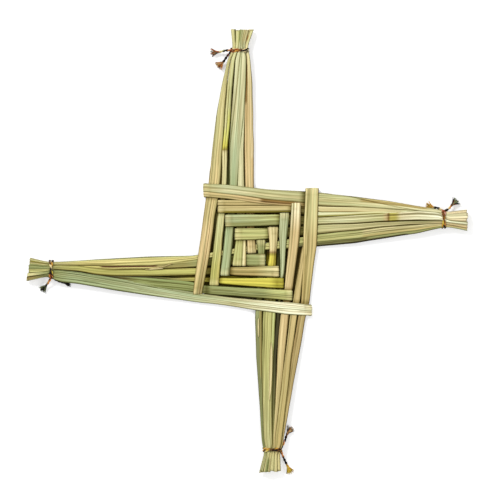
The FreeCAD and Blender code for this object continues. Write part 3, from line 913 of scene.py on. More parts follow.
def straw_material():
    # Dry straw: each rush's tone with fibre streaks, thin dark lines and a fine grain, times the
    # painted shade and highlight that each point carries
    material = bpy.data.materials.new("dry_straw")
    tree = NodeTree(material)
    fibre = tree.attribute("fibre")["Vector"]
    tone = tree.attribute("tone")["Color"]
    shade = tree.attribute("shade")["Fac"]

    def streaks(across, along, detail, offset):
        # Noise drawn out along the rush
        mapping = tree.add("Mapping", Vector=fibre, Scale=(across, along, 40.0),
                           Location=(offset, offset * 2, offset))
        return tree.add("TexNoise", Vector=mapping.outputs[0], Scale=1.0, Detail=detail,
                        Roughness=0.6).outputs[0]

    broad = streaks(900, 14, 3, 3.1)
    fine = streaks(2400, 40, 4, 7.7)
    lines = streaks(1350, 7, 2, 11.2)
    hue = streaks(600, 10, 2, 5.5)
    light = tree.spread(broad, 0.3, 0.7, 0.80, 1.25)
    fine_light = tree.spread(fine, 0.3, 0.7, 0.82, 1.18)
    line_dark = tree.spread(lines, 0.53, 0.68, 1.0, 0.46)
    total = tree.math("MULTIPLY", tree.math("MULTIPLY", light, fine_light), shade)
    total = tree.math("MULTIPLY", total, line_dark)
    lit = tree.add("CombineColor")
    for socket, power in enumerate(DARK_POWERS):
        tree.feed(lit.inputs[socket], tree.math("POWER", total, power))
    base = tree.mix("MULTIPLY", 1.0, tone, lit.outputs[0])
    warm = tree.mix("MULTIPLY", 1.0, base, WARM_TINT)
    green = tree.mix("MULTIPLY", 1.0, base, GREEN_TINT)
    colour = tree.mix("MIX", tree.spread(hue, 0.42, 0.58, 0.0, 1.0), green, warm)
    # Reflection fades with the painted shade, so that shaded gaps stay dark
    gloss = tree.math("MULTIPLY", tree.math("MULTIPLY", shade, shade), 0.35)
    shader = tree.add("BsdfPrincipled", Base_Color=colour, Roughness=0.5, Specular_IOR_Level=gloss,
                      Normal=tree.bump(0.5, 0.12 * MM, fine))
    tree.add("OutputMaterial", Surface=shader.outputs[0])
    return material


CREAM = srgb(222, 208, 154)
GREEN = srgb(190, 190, 122)
SOFT_GREEN = srgb(204, 200, 144)
DEEP_GREEN = srgb(156, 160, 102)
MOSS = srgb(130, 130, 80)
LEAF = srgb(138, 147, 86)
BLUE_GREEN = srgb(184, 192, 148)
SAGE_GREEN = srgb(168, 178, 130)
MIST = srgb(210, 208, 162)
# Olive tones of painted shadow, for rushes sunk under their neighbours and the king rush's lower edge
PAINTED_SHADE_OLIVE = srgb(104, 100, 48)
PAINTED_SHADOW_OLIVE = srgb(58, 52, 6)
PALE = srgb(245, 242, 208)
BLEACHED = srgb(230, 218, 176)
BEIGE = srgb(205, 196, 138)
BUTTER = srgb(222, 212, 140)
TAN = srgb(204, 186, 128)
SAND = srgb(196, 178, 120)
STRAW = srgb(190, 184, 132)
FADED = srgb(172, 150, 96)
DULL_TAN = srgb(184, 166, 104)
KHAKI = srgb(160, 152, 90)
PINK = srgb(214, 190, 136)
PALE_PINK = srgb(224, 206, 158)
YELLOW = srgb(212, 200, 82)
LIME = srgb(214, 209, 114)
HONEY = srgb(192, 180, 88)
DULL_YELLOW = srgb(188, 181, 102)
OLIVE_YELLOW = srgb(172, 160, 52)
OLIVE = srgb(148, 136, 50)
# Brown is a knuckle's own colour; in the stripes of north_rush_1 and east_rush_5 it is painted shadow
BROWN = srgb(128, 98, 40)
# Dark red-brown painted shadow for the line below the king rush's edge on west_rush_1
PAINTED_SHADE_RUSSET = srgb(100, 66, 30)
RUSSET = srgb(166, 122, 54)


def look(arm, tones, ridges=3.0, pleats=2, spread=0.02, depth=0.13, fold_highlight=0.45, stripes=(),
         creases=(), knuckles=()):
    # How one rush looks. Tones are colours at places along the arm. A stripe is a colour, the
    # part across that it takes, from -1 at the inner edge to 1, and its two ends along the arm.
    # A crease is its place across at the fold and at the tie, its width and its depth. Spread, how
    # much wider it is on each side, and depth, that of its grooves, are in mm. Fold highlight is how
    # far the fold turns to cream, a painted highlight on its rounded end.
    stops = [(along_arm(arm, place), colour) for place, colour in tones]
    return {
        "stops": sorted(stops, key=lambda stop: stop[0]), "fold_highlight": fold_highlight,
        "ridges": ridges, "pleats": pleats, "spread": spread * MM, "depth": depth * MM,
        "stripes": [(colour, start, end, *sorted((along_arm(arm, first), along_arm(arm, last))))
                    for colour, start, end, first, last in stripes],
        "creases": creases, "knuckles": [(along_arm(arm, place), size * MM) for place, size in knuckles],
    }


LOOKS = {
    # north_rush_1's brown stripes along its outer edge are painted shadow
    "north_rush_1": look(
        "north", [(110, PINK), (70, CREAM), (48, CREAM), (42, BEIGE)], 2.0, 1,
        stripes=[(BROWN, 0.88, 1.3, 165, 100), (BROWN, 0.5, 1.3, 106, 62),
            (PALE_PINK, -1.3, -0.3, 160, 60), (RUSSET, 0.1, 1.3, 43, 33)]),
    "north_rush_2": look(
        "north", [(240, GREEN), (200, MIST), (46, MIST), (40, CREAM)], 3.0, 0,
        stripes=[(CREAM, -1.3, -0.3, 300, 200)],
        creases=[(-0.3, -0.3, 0.06, 1.0), (0.1, 0.1, 0.05, 0.7), (0.5, 0.5, 0.05, 0.7)]),
    "north_rush_3": look(
        "north", [(185, SAGE_GREEN), (155, BLUE_GREEN), (115, MIST), (48, MIST), (40, SOFT_GREEN)],
            2.5, 1,
        stripes=[(LEAF, 0.3, 0.85, 45, 20)],
        creases=[(1.9, -0.1, 0.08, 1.4)]),
    "north_rush_4": look(
        "north", [(268, DULL_YELLOW), (225, SOFT_GREEN), (152, CREAM), (150.5, BROWN), (149, OLIVE),
            (146, YELLOW), (136, LIME), (120, LIME), (105, SOFT_GREEN), (48, SOFT_GREEN), (42, BEIGE)],
            2.0, 1, knuckles=[(150, 0.25)],
        stripes=[(GREEN, -1.3, -0.1, 46, 20), (BEIGE, 0.1, 1.3, 132, 60), (KHAKI, -0.15, 0.3, 138, 84)]),
    "north_rush_5": look(
        "north", [(294, DULL_TAN), (275, TAN), (250, PINK), (232, PINK), (218, SAND), (204, SAND),
            (180, TAN), (125, BEIGE)], 2.5, 1,
        stripes=[(MOSS, -0.9, -0.2, 45, 15)]),
    "east_rush_1": look(
        "east", [(268, GREEN), (335, STRAW), (425, STRAW), (448, PALE_PINK)], 3.0, 2),
    "east_rush_2": look(
        "east", [(225, BLUE_GREEN), (280, GREEN), (310, SOFT_GREEN), (340, MIST), (382, SOFT_GREEN),
            (386, PINK), (388.5, BROWN), (390, HONEY), (396, HONEY), (401, BLEACHED), (440, PALE)],
            4.0, 3, knuckles=[(388.5, 0.22)],
        stripes=[(DEEP_GREEN, -1.3, -0.3, 220, 300), (MIST, 0.1, 1.3, 446, 475)],
        creases=[(-0.3, -0.3, 0.06, 0.9), (0.35, 0.35, 0.05, 0.8)]),
    "east_rush_3": look(
        "east", [(290, TAN), (319, MIST), (380, SOFT_GREEN), (402, MIST), (440, MIST), (452, BLEACHED)],
            2.0, 0,
        stripes=[(OLIVE, -1.3, -0.35, 210, 305), (DULL_YELLOW, -1.3, -0.2, 305, 385)],
        creases=[(-0.35, -0.3, 0.06, 0.9)]),
    "east_rush_4": look(
        "east", [(300, SAND), (400, MIST), (440, MIST), (452, BLEACHED)], 2.0, 1),
    # east_rush_5's brown stripe is painted shadow under the edge of east_rush_6
    "east_rush_5": look(
        "east", [(203, SAND), (225, TAN), (240, PINK), (300, PINK), (319, CREAM), (380, CREAM),
            (440, MIST), (452, BLEACHED)], 2.0, 1,
        stripes=[(BROWN, -0.5, 1.3, 258, 302)]),
    "east_rush_6": look(
        "east", [(203, BEIGE), (225, MIST), (262, STRAW), (300, STRAW), (335, SOFT_GREEN), (440, MIST),
            (452, BLEACHED)], 3.5, 3,
        stripes=[(DULL_TAN, 0.05, 1.3, 358, 430)],
        creases=[(0.2, 0.3, 0.06, 1.0), (-0.4, -0.3, 0.05, 0.8), (4.2, -1.7, 0.09, 1.5)]),
    "south_rush_1": look(
        "south", [(300, DEEP_GREEN), (325, MOSS), (405, MOSS), (448, DEEP_GREEN), (458, SOFT_GREEN)],
            2.5, 2,
        stripes=[(KHAKI, 0.1, 1.3, 305, 380)]),
    "south_rush_2": look(
        "south", [(249, CREAM), (251.6, PINK), (252.6, BROWN), (254, OLIVE), (256, YELLOW), (265, YELLOW),
            (290, GREEN), (360, GREEN), (450, BEIGE)], 2.0, 1, knuckles=[(253, 0.15)],
        stripes=[(LEAF, 0.05, 0.7, 456, 480)],
        creases=[(-0.1, -0.4, 0.05, 0.7), (0.45, 0.4, 0.05, 0.8)]),
    # south_rush_3's darkest olive tones are painted shadow where it is sunk between its neighbours
    "south_rush_3": look(
        "south", [(270, BLUE_GREEN), (300, DEEP_GREEN), (314, PAINTED_SHADOW_OLIVE), (350, PAINTED_SHADOW_OLIVE),
            (400, PAINTED_SHADE_OLIVE), (446, KHAKI), (456, BEIGE)], 2.5, 1,
        stripes=[(LEAF, -1.3, -0.2, 456, 485), (BROWN, 0.1, 0.5, 456, 485)]),
    "south_rush_4": look(
        "south", [(212, BLEACHED), (232, PINK), (320, PINK), (446, SAND), (458, BEIGE)], 2.0, 1),
    "south_rush_5": look(
        "south", [(290, TAN), (330, SAND), (448, DULL_TAN), (458, BEIGE)], 2.0, 1),
    "south_rush_6": look(
        "south", [(215, BEIGE), (240, SAND), (285, DULL_TAN), (320, FADED), (390, FADED), (448, DULL_TAN),
            (458, BEIGE)], 2.5, 2),
    # west_rush_1's russet stripe is painted shadow below the king rush's edge
    "west_rush_1": look(
        "west", [(200, DEEP_GREEN), (185, KHAKI), (165, KHAKI), (150, BUTTER), (60, DULL_YELLOW),
            (46, DEEP_GREEN)], 3.0, 2,
        stripes=[(BEIGE, -1.3, -0.1, 20, 49), (PAINTED_SHADE_RUSSET, -1.3, 0.15, 98, 160)]),
    "west_rush_2": look(
        "west", [(279, CREAM), (268, BEIGE), (255, DULL_TAN), (230, DULL_TAN), (200, DULL_YELLOW),
            (85, DULL_YELLOW), (54, KHAKI), (46, DEEP_GREEN)], 2.5, 2,
        creases=[(0.1, -0.2, 0.04, 0.7)]),
    # west_rush_3's darkest olive tones are painted shadow where it is sunk under its neighbours
    "west_rush_3": look(
        "west", [(276, OLIVE_YELLOW), (270, YELLOW), (225, YELLOW), (200, HONEY), (176, KHAKI),
            (166, PAINTED_SHADE_OLIVE), (152, PAINTED_SHADOW_OLIVE), (74, PAINTED_SHADOW_OLIVE), (60, DEEP_GREEN), (46, GREEN)],
            1.5, 0, spread=0.0, fold_highlight=0.0,
        creases=[(0.5, -0.2, 0.04, 0.5)]),
    # west_rush_4's darkest olive tones are painted shadow where it is sunk under its neighbours
    "west_rush_4": look(
        "west", [(275, GREEN), (262, DEEP_GREEN), (205, DEEP_GREEN), (190, LEAF), (140, LEAF),
            (125, PAINTED_SHADE_OLIVE), (112, PAINTED_SHADOW_OLIVE), (74, PAINTED_SHADOW_OLIVE), (60, LEAF), (44, DEEP_GREEN),
            (33, BEIGE)], 3.5, 3),
    "west_rush_5": look(
        "west", [(275, PALE), (235, MIST), (190, BLUE_GREEN), (150, BLUE_GREEN), (120, SAGE_GREEN),
            (70, SAGE_GREEN), (54, DEEP_GREEN), (45, MOSS), (37, KHAKI), (31, DULL_TAN)], 3.5, 3,
        creases=[(-0.5, -0.55, 0.06, 1.1), (0.1, 0.0, 0.06, 0.9), (0.5, 0.42, 0.05, 0.9),
            (-0.2, -0.28, 0.04, 0.8), (-0.78, -0.8, 0.04, 0.8)],
        stripes=[(BEIGE, 0.35, 1.3, 46, 20), (LEAF, -0.75, -0.25, 50, 38)]),
}

# The king rush's dark olive stripes along its lower edge are painted shade
KING_LOOK = look(
    "east", [(60, BEIGE), (80, BUTTER), (190, BUTTER), (300, GREEN), (440, BEIGE), (450, TAN)], 2.5, 0,
    stripes=[(DEEP_GREEN, 0.7, 1.3, 50, 200), (DEEP_GREEN, -1.3, -0.1, 295, 445),
        (PAINTED_SHADOW_OLIVE, -1.3, -0.62, 295, 410), (PAINTED_SHADE_OLIVE, -0.7, -0.3, 295, 370),
        (DULL_TAN, -0.3, 0.15, 360, 440), (CREAM, 0.2, 1.3, 360, 450), (BLUE_GREEN, -1.3, -0.1, 447, 475),
        (YELLOW, -1.3, -0.4, 24, 50)],
    creases=[(-0.1, -0.5, 0.07, 1.3), (0.3, 0.2, 0.06, 1.0)])

# Thin torn fibres that lie on a rush's front: the rush, places along the arm with both edges
# in the photograph's pixels, and the colour
TORN_FIBRES = {
    "torn_fibre_south_long": (
        "south_rush_2", [(344, 270.6, 271.8), (350, 269.8, 272.8), (372, 269.3, 272.4),
            (392, 269.0, 271.2), (401, 269.0, 269.7)], CREAM),
    "torn_fibre_south_short": (
        "south_rush_1", [(319.5, 257.9, 259.2), (326, 257.5, 259.7), (333, 257.7, 259.4),
            (337.3, 258.1, 258.8)], CREAM),
    "torn_fibre_west_long": (
        "west_rush_1", [(171.6, 263.1, 263.8), (166, 265.3, 266.1), (158, 267.1, 268.0),
            (150, 268.7, 269.4), (144.8, 269.4, 269.8)], TAN),
    "torn_fibre_west_short": (
        "west_rush_2", [(162, 267.9, 268.7), (155, 268.6, 269.5), (148, 269.0, 269.8)], CREAM),
}


def make_torn_fibre(name, rushes, material, seed):
    # A sliver on top of its rush, bent a little upward at both ends
    node, places, colour = TORN_FIBRES[name]
    rush = rushes[node]
    edges = measured(rush["arm"], places)
    levels = read_levels(rush, 1)
    low, high = edges[0, 0], edges[-1, 0]
    rows = []
    for out in np.linspace(low, high, int((high - low) / (0.5 * ROW_STEP))):
        share = (out - low) / (high - low)
        level = max(levels_along(levels, out)[4:])
        level += FIBRE_RISE * (1 + (2 * share - 1) ** 4)
        left, right = edges_along(edges, out)
        rows.append({
            "left": np.array([out, left, level]), "right": np.array([out, right, level]),
            "half": (FIBRE_HALF, FIBRE_HALF), "normal": UPWARD, "out": out, "distance": out,
            "tied": 0.0, "hidden": 0.0, "inner": 1.0,
        })
    fibre_look = look(rush["arm"], [(places[0][0], colour)], 1.5, 0, spread=0.0, depth=0.03)
    finish(make_rush(name, rush["axes"], rows[::-1], fibre_look, seed), node, material, False)


def make_rushes(material):
    # Every folded rush in place of its node, the king rush and the torn fibres; gives back what
    # was read
    rushes = {node: read_rush(node, node.split("_")[0]) for node in LOOKS}
    for node, rush in rushes.items():
        rush["front"] = measured(rush["arm"], FRONT[node])
    for seed, (node, rush_look) in enumerate(LOOKS.items()):
        piece = make_rush(node, rushes[node]["axes"], rush_rows(node, rushes), rush_look, seed + 1)
        finish(piece, node, material)
    rows = king_rows(measured("east", KING_FRONT))
    king = make_rush("king_rush", arm_axes(ARM_ANGLE["east"]), rows, KING_LOOK, len(LOOKS) + 1)
    finish(king, "king_rush", material)
    for seed, name in enumerate(TORN_FIBRES):
        make_torn_fibre(name, rushes, material, seed + 60)
    return rushes


def finish(piece, node, material, whole=True):
    # A piece that is the whole of its node replaces it; a torn fibre only goes with its rush
    piece.data.materials.append(material)
    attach(piece, "root")
    if whole:
        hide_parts(node)


def square_to(along, upright):
    # Two directions square to a path at each of its points
    along = along / np.linalg.norm(along, axis=1)[:, None]
    aside = np.cross(along, upright)
    aside /= np.linalg.norm(aside, axis=1)[:, None]
    return aside, np.cross(aside, along)


class Sheaf:
    # Many thin tubes gathered into one mesh, each point with its own tone
    def __init__(self):
        self.points = []
        self.faces = []
        self.tones = []
        self.count = 0

    def tube(self, path, radii, tones, sides, upright, closed=False):
        # Adds a round tube along a path; one that isn't closed gets a point at each end
        path = np.asarray(path)
        rows = len(path)
        number = np.arange(rows)
        if closed:
            before, after = path[number - 1], path[(number + 1) % rows]
        else:
            before, after = path[np.maximum(number - 1, 0)], path[np.minimum(number + 1, rows - 1)]
        aside, upward = square_to(after - before, upright)
        angles = (2 * math.pi * np.arange(sides) / sides)[None, :, None]
        around = aside[:, None] * np.cos(angles) + upward[:, None] * np.sin(angles)
        rings = path[:, None] + radii[:, None, None] * around
        self.points.append(rings.reshape(-1, 3))
        self.tones.append(np.repeat(tones, sides, axis=0))
        base = self.count
        for row in range(rows if closed else rows - 1):
            later = (row + 1) % rows
            self.faces += ring_faces(base + row * sides, base + later * sides, sides)
        self.count += rows * sides
        for end, rim in () if closed else ((0, base), (-1, self.count - sides)):
            self.points.append(path[end][None])
            self.tones.append(tones[end][None])
            self.faces += point_faces(rim, self.count, sides, end < 0)
            self.count += 1

    def piece(self, name, axes):
        piece = new_piece(name, np.concatenate(self.points) @ axes, self.faces)
        add_attribute(piece, "tone", "FLOAT_COLOR", np.concatenate(self.tones))
        return piece


def lengths_along(path):
    return np.concatenate([[0], np.cumsum(np.linalg.norm(np.diff(path, axis=0), axis=1))])


def smooth_path(points, step):
    # Evenly spaced points on a smooth curve through the given ones
    points = np.asarray(points, dtype=float)
    padded = np.vstack([2 * points[0] - points[1], points, 2 * points[-1] - points[-2]])
    curve = []
    for number in range(1, len(padded) - 2):
        a, b, c, d = padded[number - 1:number + 3]
        for share in np.linspace(0, 1, 16, endpoint=False):
            curve.append(0.5 * (2 * b + (c - a) * share + (2 * a - 5 * b + 4 * c - d) * share ** 2
                                + (3 * b - a - 3 * c + d) * share ** 3))
    curve.append(points[-1])
    curve = np.array(curve)
    lengths = lengths_along(curve)
    places = np.linspace(0, lengths[-1], max(int(lengths[-1] / step), 2))
    return between(places, lengths, curve)


def twist_plies(sheaf, path, shades, turn, upright, closed=False):
    # Two plies wound round each other along a path; shades are their tones at shares of the way
    lengths = lengths_along(path)
    whole = lengths[-1]
    if closed:
        whole += np.linalg.norm(path[0] - path[-1])
    turns = round(whole / PLY_PITCH) if closed else whole / PLY_PITCH
    aside, upward = square_to(np.gradient(path, axis=0), upright)
    share = lengths / whole
    stops = [stop[0] for stop in shades]
    for ply in range(2):
        angle = (turn + ply * math.pi + 2 * math.pi * turns * share)[:, None]
        centre = path + PLY_OFFSET * (aside * np.cos(angle) + upward * np.sin(angle))
        tones = between(share, stops, [stop[1 + ply] for stop in shades])
        sheaf.tube(centre, np.full(len(path), PLY_RADIUS), tones, PLY_SIDES, upright, closed)


def tie_shape(arm, rushes):
    # Where the thread holds an arm's bundle, read from the rushes' nodes
    waists = [rush["halves"][face][index] for rush in rushes.values() if rush["arm"] == arm
              for face in (1, -1) for index in (1, 2)]
    left = min(waist["left"][1] for waist in waists)
    right = max(waist["right"][1] for waist in waists)
    top = max(max(waist["far"]) for waist in waists)
    bottom = min(min(waist["far"]) for waist in waists)
    reach = np.mean([waist["left"][0] for waist in waists])
    if arm in ("east", "west"):
        king = node_corners("king_rush", arm_axes(ARM_ANGLE[arm]))
        king = king[np.abs(king[:, 0] - reach) < 3 * MM]
        left = min(left, king[:, 1].min())
        right = max(right, king[:, 1].max())
    return {
        "reach": reach, "aside": (left + right) / 2, "half_width": (right - left) / 2,
        "level": (top + bottom) / 2, "half_height": (top - bottom) / 2,
    }


def turns_path(tie):
    # Two turns round the bundle as one closed path. They cross on the front, where the second
    # lies over the first, and run side by side on the back.
    half_width = tie["half_width"] + THREAD_HUG
    half_height = tie["half_height"] + THREAD_RADIUS
    points = []
    for angle in np.linspace(0, 4 * math.pi, TURN_STEPS, endpoint=False):
        second = angle >= 2 * math.pi
        across, upward = [math.copysign(abs(value) ** (2 / OVAL_FULLNESS), value)
                          for value in (math.cos(angle), math.sin(angle))]
        front = math.sin(angle) > 0
        lean = LOOP_LEAN * (math.cos(angle) if front else -1)
        meeting = math.exp(-(lean / CROSSING_REACH) ** 2) if front else 0.0
        upward *= half_height * (1 + (CROSSING_RISE if second else CROSSING_DROP) * meeting)
        upward = max(upward, PLY_OFFSET + PLY_RADIUS - tie["level"])
        points.append([tie["reach"] + (lean if second else -lean), tie["aside"] + across * half_width,
                       tie["level"] + upward])
    return np.array(points)


def knot_path(place):
    # A small coil of thread that gathers both turns at the bundle's side
    points = []
    for share in np.linspace(0, 1, KNOT_STEPS):
        angle = math.pi * (0.5 + 2 * KNOT_TURNS * share)
        points.append(place + np.array([KNOT_LENGTH * (share - 0.5), KNOT_RADIUS * math.cos(angle),
                                        KNOT_RADIUS * math.sin(angle)]))
    return np.array(points)


def add_tuft(sheaf, end, direction, tones, seed):
    # Frayed fibres that fan out from a cut thread, each with its own curl, length and rest level
    random = np.random.RandomState(seed)
    aside = np.array([-direction[1], direction[0], 0])
    for _ in range(TUFT_FIBRES):
        fan = math.radians(random.uniform(-1, 1) * TUFT_FAN)
        length = TUFT_LENGTH * random.uniform(TUFT_SHORTEST, 1.0) * math.cos(fan * 0.6)
        heading = direction * math.cos(fan) + aside * math.sin(fan)
        curl = random.uniform(-TUFT_CURL, TUFT_CURL)
        rest = random.uniform(*TUFT_REST) * MM
        start = end + aside * random.uniform(-0.5, 0.5) * MM + UPWARD * random.uniform(-0.3, 0.5) * MM
        points = []
        for share in np.linspace(-0.12, 1, TUFT_STEPS):
            spot = start + heading * length * share + aside * curl * length * share ** 2
            level = start[2] + (rest - start[2]) * max(share, 0) ** 1.5
            points.append([spot[0], spot[1], max(level, FIBRE_RADIUS)])
        radii = FIBRE_RADIUS * (1 - 0.6 * np.linspace(0, 1, TUFT_STEPS) ** 2)
        tone = tones[random.randint(len(tones))] * random.uniform(TUFT_DARKEST, 1.0)
        sheaf.tube(points, radii, np.tile(tone, (TUFT_STEPS, 1)), FIBRE_SIDES, UPWARD)


def make_tie(arm, rushes, material, seed):
    # Two turns of twisted thread, their knot and two tails with frayed ends
    tie = tie_shape(arm, rushes)
    sheaf = Sheaf()
    shades = []
    for turn, stops in enumerate(LOOP_SHADES[arm]):
        for share, first, second in [*stops, (1, *stops[0][1:])]:
            shades.append(((share * 0.998 + turn) / 2, first, second))
    twist_plies(sheaf, turns_path(tie), shades, seed, OUTWARD, closed=True)
    side = tie["aside"] + tie["half_width"] + KNOT_OUT
    place = np.array([tie["reach"], side, tie["level"] + KNOT_LIFT])
    twist_plies(sheaf, knot_path(place), KNOT_SHADES[arm], seed, OUTWARD)
    side = tie["aside"] + KNOT_FULLNESS * tie["half_width"] + CARRIED_KNOT
    for number, (route, shades, tuft) in enumerate(TAILS[arm]):
        points = [place]
        for step, (out, aside) in enumerate(route):
            level = place[2] + (TAIL_LEVEL - place[2]) * (step + 1) / len(route)
            points.append([tie["reach"] + out * MM, side + aside * MM, level])
        path = smooth_path(points, TAIL_STEP)
        direction = path[-1] - path[-4]
        direction[2] = 0
        direction /= np.linalg.norm(direction)
        path = path[np.linalg.norm(path - path[-1], axis=1) > TUFT_LENGTH]
        twist_plies(sheaf, path, shades, seed + 2 * number, UPWARD)
        add_tuft(sheaf, path[-1], direction, tuft, seed * 10 + number)
    finish(sheaf.piece("thread_" + arm, arm_axes(ARM_ANGLE[arm])), "thread_tie_" + arm, material)


def thread_material():
    # Soft spun thread: each ply's own tone, with fine lighter and darker fibres
    material = bpy.data.materials.new("spun_thread")
    tree = NodeTree(material)
    place = tree.add("TexCoord").outputs["Object"]
    noise = tree.add("TexNoise", Vector=place, Scale=2600, Detail=3).outputs[0]
    scale = tree.add("VectorMath")
    scale.operation = "SCALE"
    tree.feed(scale.inputs[0], tree.attribute("tone")["Color"])
    tree.feed(scale.inputs["Scale"], tree.spread(noise, 0.3, 0.7, 0.6, 1.35))
    shader = tree.add("BsdfPrincipled", Base_Color=scale.outputs[0], Roughness=0.7,
                      Specular_IOR_Level=0.15, Normal=tree.bump(0.6, 0.1 * MM, noise))
    tree.add("OutputMaterial", Surface=shader.outputs[0])
    return material


GOLD = srgb(214, 160, 60)
ORANGE = srgb(212, 136, 66)
RUST = srgb(146, 72, 40)
BLACK = srgb(20, 14, 12)
SOOT = srgb(38, 30, 20)
IVORY = srgb(226, 205, 150)
SAGE = srgb(150, 160, 110)
TEAL = srgb(48, 72, 66)
BLUSH = srgb(206, 156, 138)
WALNUT = srgb(98, 62, 28)
LEMON = srgb(222, 196, 72)

# Each turn's two plies: shares of the way round from the knot over the front, and their tones
LOOP_SHADES = {
    "north": [
        [(0, RUST, BLACK), (0.14, WALNUT, RUST), (0.2, WALNUT, GOLD), (0.25, ORANGE, GOLD),
            (0.28, BLACK, WALNUT), (0.32, BLACK, IVORY), (0.44, BLACK, IVORY), (0.5, BLACK, BLACK)],
        [(0, BLACK, RUST), (0.13, WALNUT, IVORY), (0.2, RUST, GOLD), (0.26, ORANGE, WALNUT),
            (0.3, BLACK, WALNUT), (0.36, BLACK, IVORY), (0.42, BLACK, BLACK)]],
    "east": [
        [(0, RUST, WALNUT), (0.14, WALNUT, RUST), (0.2, GOLD, WALNUT), (0.27, RUST, WALNUT),
            (0.33, GOLD, WALNUT), (0.38, BLACK, ORANGE), (0.44, BLACK, BLACK)],
        [(0, WALNUT, RUST), (0.14, RUST, BLUSH), (0.2, WALNUT, WALNUT), (0.28, GOLD, WALNUT),
            (0.34, LEMON, WALNUT), (0.4, BLACK, GOLD), (0.46, BLACK, BLACK)]],
    "south": [
        [(0, BLACK, BLACK), (0.14, GOLD, WALNUT), (0.18, GOLD, WALNUT), (0.23, BLACK, WALNUT),
            (0.3, WALNUT, BLACK), (0.35, LEMON, WALNUT), (0.42, IVORY, WALNUT), (0.46, GOLD, BLACK)],
        [(0, BLACK, BLACK), (0.14, WALNUT, BLACK), (0.22, BLACK, BLACK), (0.3, WALNUT, WALNUT),
            (0.36, IVORY, GOLD), (0.44, GOLD, BLACK)]],
    "west": [
        [(0, BLACK, RUST), (0.13, GOLD, WALNUT), (0.18, LEMON, SOOT), (0.23, LEMON, BLACK),
            (0.28, BLACK, SOOT), (0.34, SOOT, IVORY), (0.4, WALNUT, IVORY), (0.46, BLACK, BLACK)],
        [(0, BLACK, RUST), (0.13, RUST, ORANGE), (0.18, BLACK, SOOT), (0.26, BLACK, SOOT),
            (0.32, IVORY, SOOT), (0.38, IVORY, GOLD), (0.44, BLACK, WALNUT)]],
}
KNOT_SHADES = {
    "north": [(0, BLACK, RUST), (0.5, RUST, IVORY), (1, BLACK, BLACK)],
    "east": [(0, RUST, RUST), (0.5, RUST, WALNUT), (1, WALNUT, BLACK)],
    "south": [(0, BLACK, WALNUT), (0.5, GOLD, BLACK), (1, BLACK, BLACK)],
    "west": [(0, BLACK, ORANGE), (0.5, RUST, BLACK), (1, BLACK, BLACK)],
}

# Each tail: its route out and aside from the knot in mm, its plies' tones and its tuft's tones
TAILS = {
    "north": [
        ([(-0.1, 2.8), (-0.9, 6.6), (-1.1, 11.8)],
         [(0, BLACK, ORANGE), (0.2, BLACK, ORANGE), (0.3, BLACK, BLACK), (0.6, BLACK, SAGE),
            (0.7, SAGE, IVORY), (0.85, IVORY, SAGE), (0.92, RUST, RUST), (1, RUST, RUST)],
         [RUST, RUST, BLACK, TEAL, SAGE, ORANGE]),
        ([(-3.8, 2.0), (-7.1, 4.4), (-9.7, 7.7)],
         [(0, BLACK, BLACK), (0.35, BLACK, RUST), (0.45, BLUSH, BLACK), (0.55, BLACK, BLACK),
            (0.9, BLACK, SOOT), (1, RUST, BLACK)],
         [BLACK, RUST, ORANGE, ORANGE, IVORY, GOLD])],
    "east": [
        ([(-3.3, 0.8), (-6.9, 1.4), (-10.4, 2.5)],
         [(0, RUST, BLUSH), (0.35, BLUSH, IVORY), (0.5, BLACK, BLACK), (0.85, BLACK, SOOT),
            (1, GOLD, IVORY)],
         [GOLD, GOLD, ORANGE, LEMON, WALNUT, IVORY]),
        ([(2.6, 0.3), (4.8, 2.6), (8.7, 5.9)],
         [(0, BLACK, SOOT), (0.4, BLACK, BLACK), (0.5, IVORY, GOLD), (0.75, IVORY, ORANGE),
            (0.85, RUST, WALNUT), (1, RUST, BLACK)],
         [TEAL, BLACK, TEAL, SAGE, RUST, BLACK])],
    "south": [
        ([(-5.0, 1.4), (-8.7, 2.7), (-13.4, 5.6)],
         [(0, BLACK, BLACK), (0.2, BLACK, GOLD), (0.4, WALNUT, ORANGE), (0.5, BLACK, BLUSH),
            (0.65, BLACK, BLACK), (0.9, BLACK, WALNUT), (1, ORANGE, WALNUT)],
         [IVORY, SAGE, BLACK, BLACK, WALNUT, ORANGE]),
        ([(4.2, 0.5), (8.6, 2.5), (14.6, 5.4)],
         [(0, BLACK, BLACK), (0.2, ORANGE, BLACK), (0.32, BLUSH, ORANGE), (0.45, BLACK, BLACK),
            (0.8, BLACK, SOOT), (0.92, GOLD, LEMON), (1, LEMON, GOLD)],
         [LEMON, GOLD, LEMON, GOLD, RUST, WALNUT])],
    "west": [
        ([(1.5, 1.7), (3.3, 4.1), (6.2, 7.5)],
         [(0, BLACK, BLACK), (0.3, BLACK, ORANGE), (0.5, ORANGE, IVORY), (0.8, ORANGE, BLACK),
            (0.9, BLACK, BLACK), (1, BLACK, SOOT)],
         [BLACK, SAGE, SOOT, BLACK, SOOT, SAGE]),
        ([(-4.1, 1.2), (-7.2, 2.1), (-11.6, 2.8)],
         [(0, BLACK, RUST), (0.25, BLACK, BLACK), (1, BLACK, BLACK)],
         [BLACK, BLACK, BLACK, SOOT])],
}


def floor_material():
    # White to the camera and in reflections, and it keeps the soft shadow
    material = bpy.data.materials.new("white_floor")
    tree = NodeTree(material)
    diffuse = tree.add("BsdfDiffuse", Color=FLOOR_TONE)
    glow = tree.add("Emission", Strength=tree.math("MULTIPLY", tree.seen(), FLOOR_GLOW))
    both = tree.add("AddShader")
    tree.feed(both.inputs[0], diffuse.outputs[0])
    tree.feed(both.inputs[1], glow.outputs[0])
    tree.add("OutputMaterial", Surface=both.outputs[0])
    return material


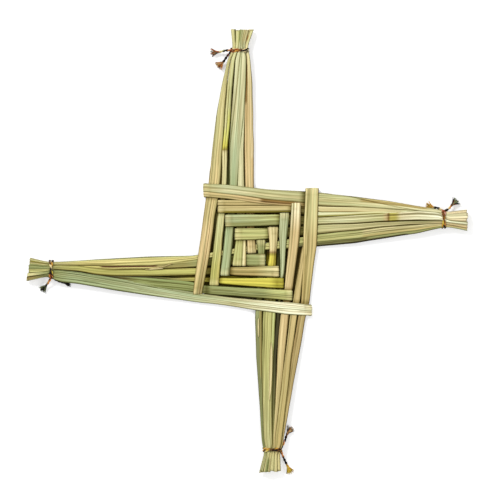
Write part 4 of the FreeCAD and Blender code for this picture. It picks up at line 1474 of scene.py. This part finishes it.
def make_floor():
    mesh = bpy.data.meshes.new("floor")
    corners = [(x * FLOOR_REACH, y * FLOOR_REACH, 0) for x, y in ((-1, -1), (1, -1), (1, 1), (-1, 1))]
    mesh.from_pydata(corners, [], [(0, 1, 2, 3)])
    mesh.materials.append(floor_material())
    floor = new_object("floor", mesh)


def make_world():
    # Soft white light from all round, and a plain pale grey behind the floor's far edge
    world = bpy.data.worlds.new("studio")
    bpy.context.scene.world = world
    tree = NodeTree(world)
    light = tree.add("Background", Color=(1, 1, 1, 1), Strength=ROOM_LIGHT)
    plain = tree.add("Background", Strength=1.0)
    mix = tree.add("MixShader", Fac=tree.seen())
    tree.feed(mix.inputs[1], light.outputs[0])
    tree.feed(mix.inputs[2], plain.outputs[0])
    tree.add("OutputWorld", Surface=mix.outputs[0])


def area_lamp(name, place, size, power):
    # A round lamp that points at the middle of the cross
    lamp = bpy.data.lights.new(name, "AREA")
    lamp.shape = "DISK"
    lamp.size = size
    lamp.energy = power
    holder = new_object(name, lamp)
    holder.location = place
    holder.rotation_mode = "QUATERNION"
    holder.rotation_quaternion = Vector(place).to_track_quat("Z", "Y")


def make_camera():
    # Straight above, far off, so that the cross lies flat in the picture as in the photograph
    camera = bpy.data.cameras.new("camera")
    camera.sensor_width = SENSOR_WIDTH
    camera.lens = SENSOR_WIDTH * CAMERA_DISTANCE / (PHOTO_SIZE * PHOTO_PIXEL)
    camera.clip_end = 10.0
    holder = new_object("camera", camera)
    aside = (PHOTO_SIZE / 2 - PHOTO_MIDDLE[0]) * PHOTO_PIXEL
    upward = (PHOTO_MIDDLE[1] - PHOTO_SIZE / 2) * PHOTO_PIXEL
    holder.location = (aside, upward, CAMERA_DISTANCE + PICTURE_LEVEL)
    bpy.context.scene.camera = holder


bpy.context.scene.view_settings.view_transform = "Standard"
make_camera()
make_floor()
make_world()
area_lamp("key", (-0.7, 0.9, 1.1), 0.5, 16)
area_lamp("fill", (0.9, -0.6, 1.0), 0.9, 6)
rushes = make_rushes(straw_material())
thread = thread_material()
for seed, arm in enumerate(ARM_ANGLE):
    make_tie(arm, rushes, thread, seed + 1)
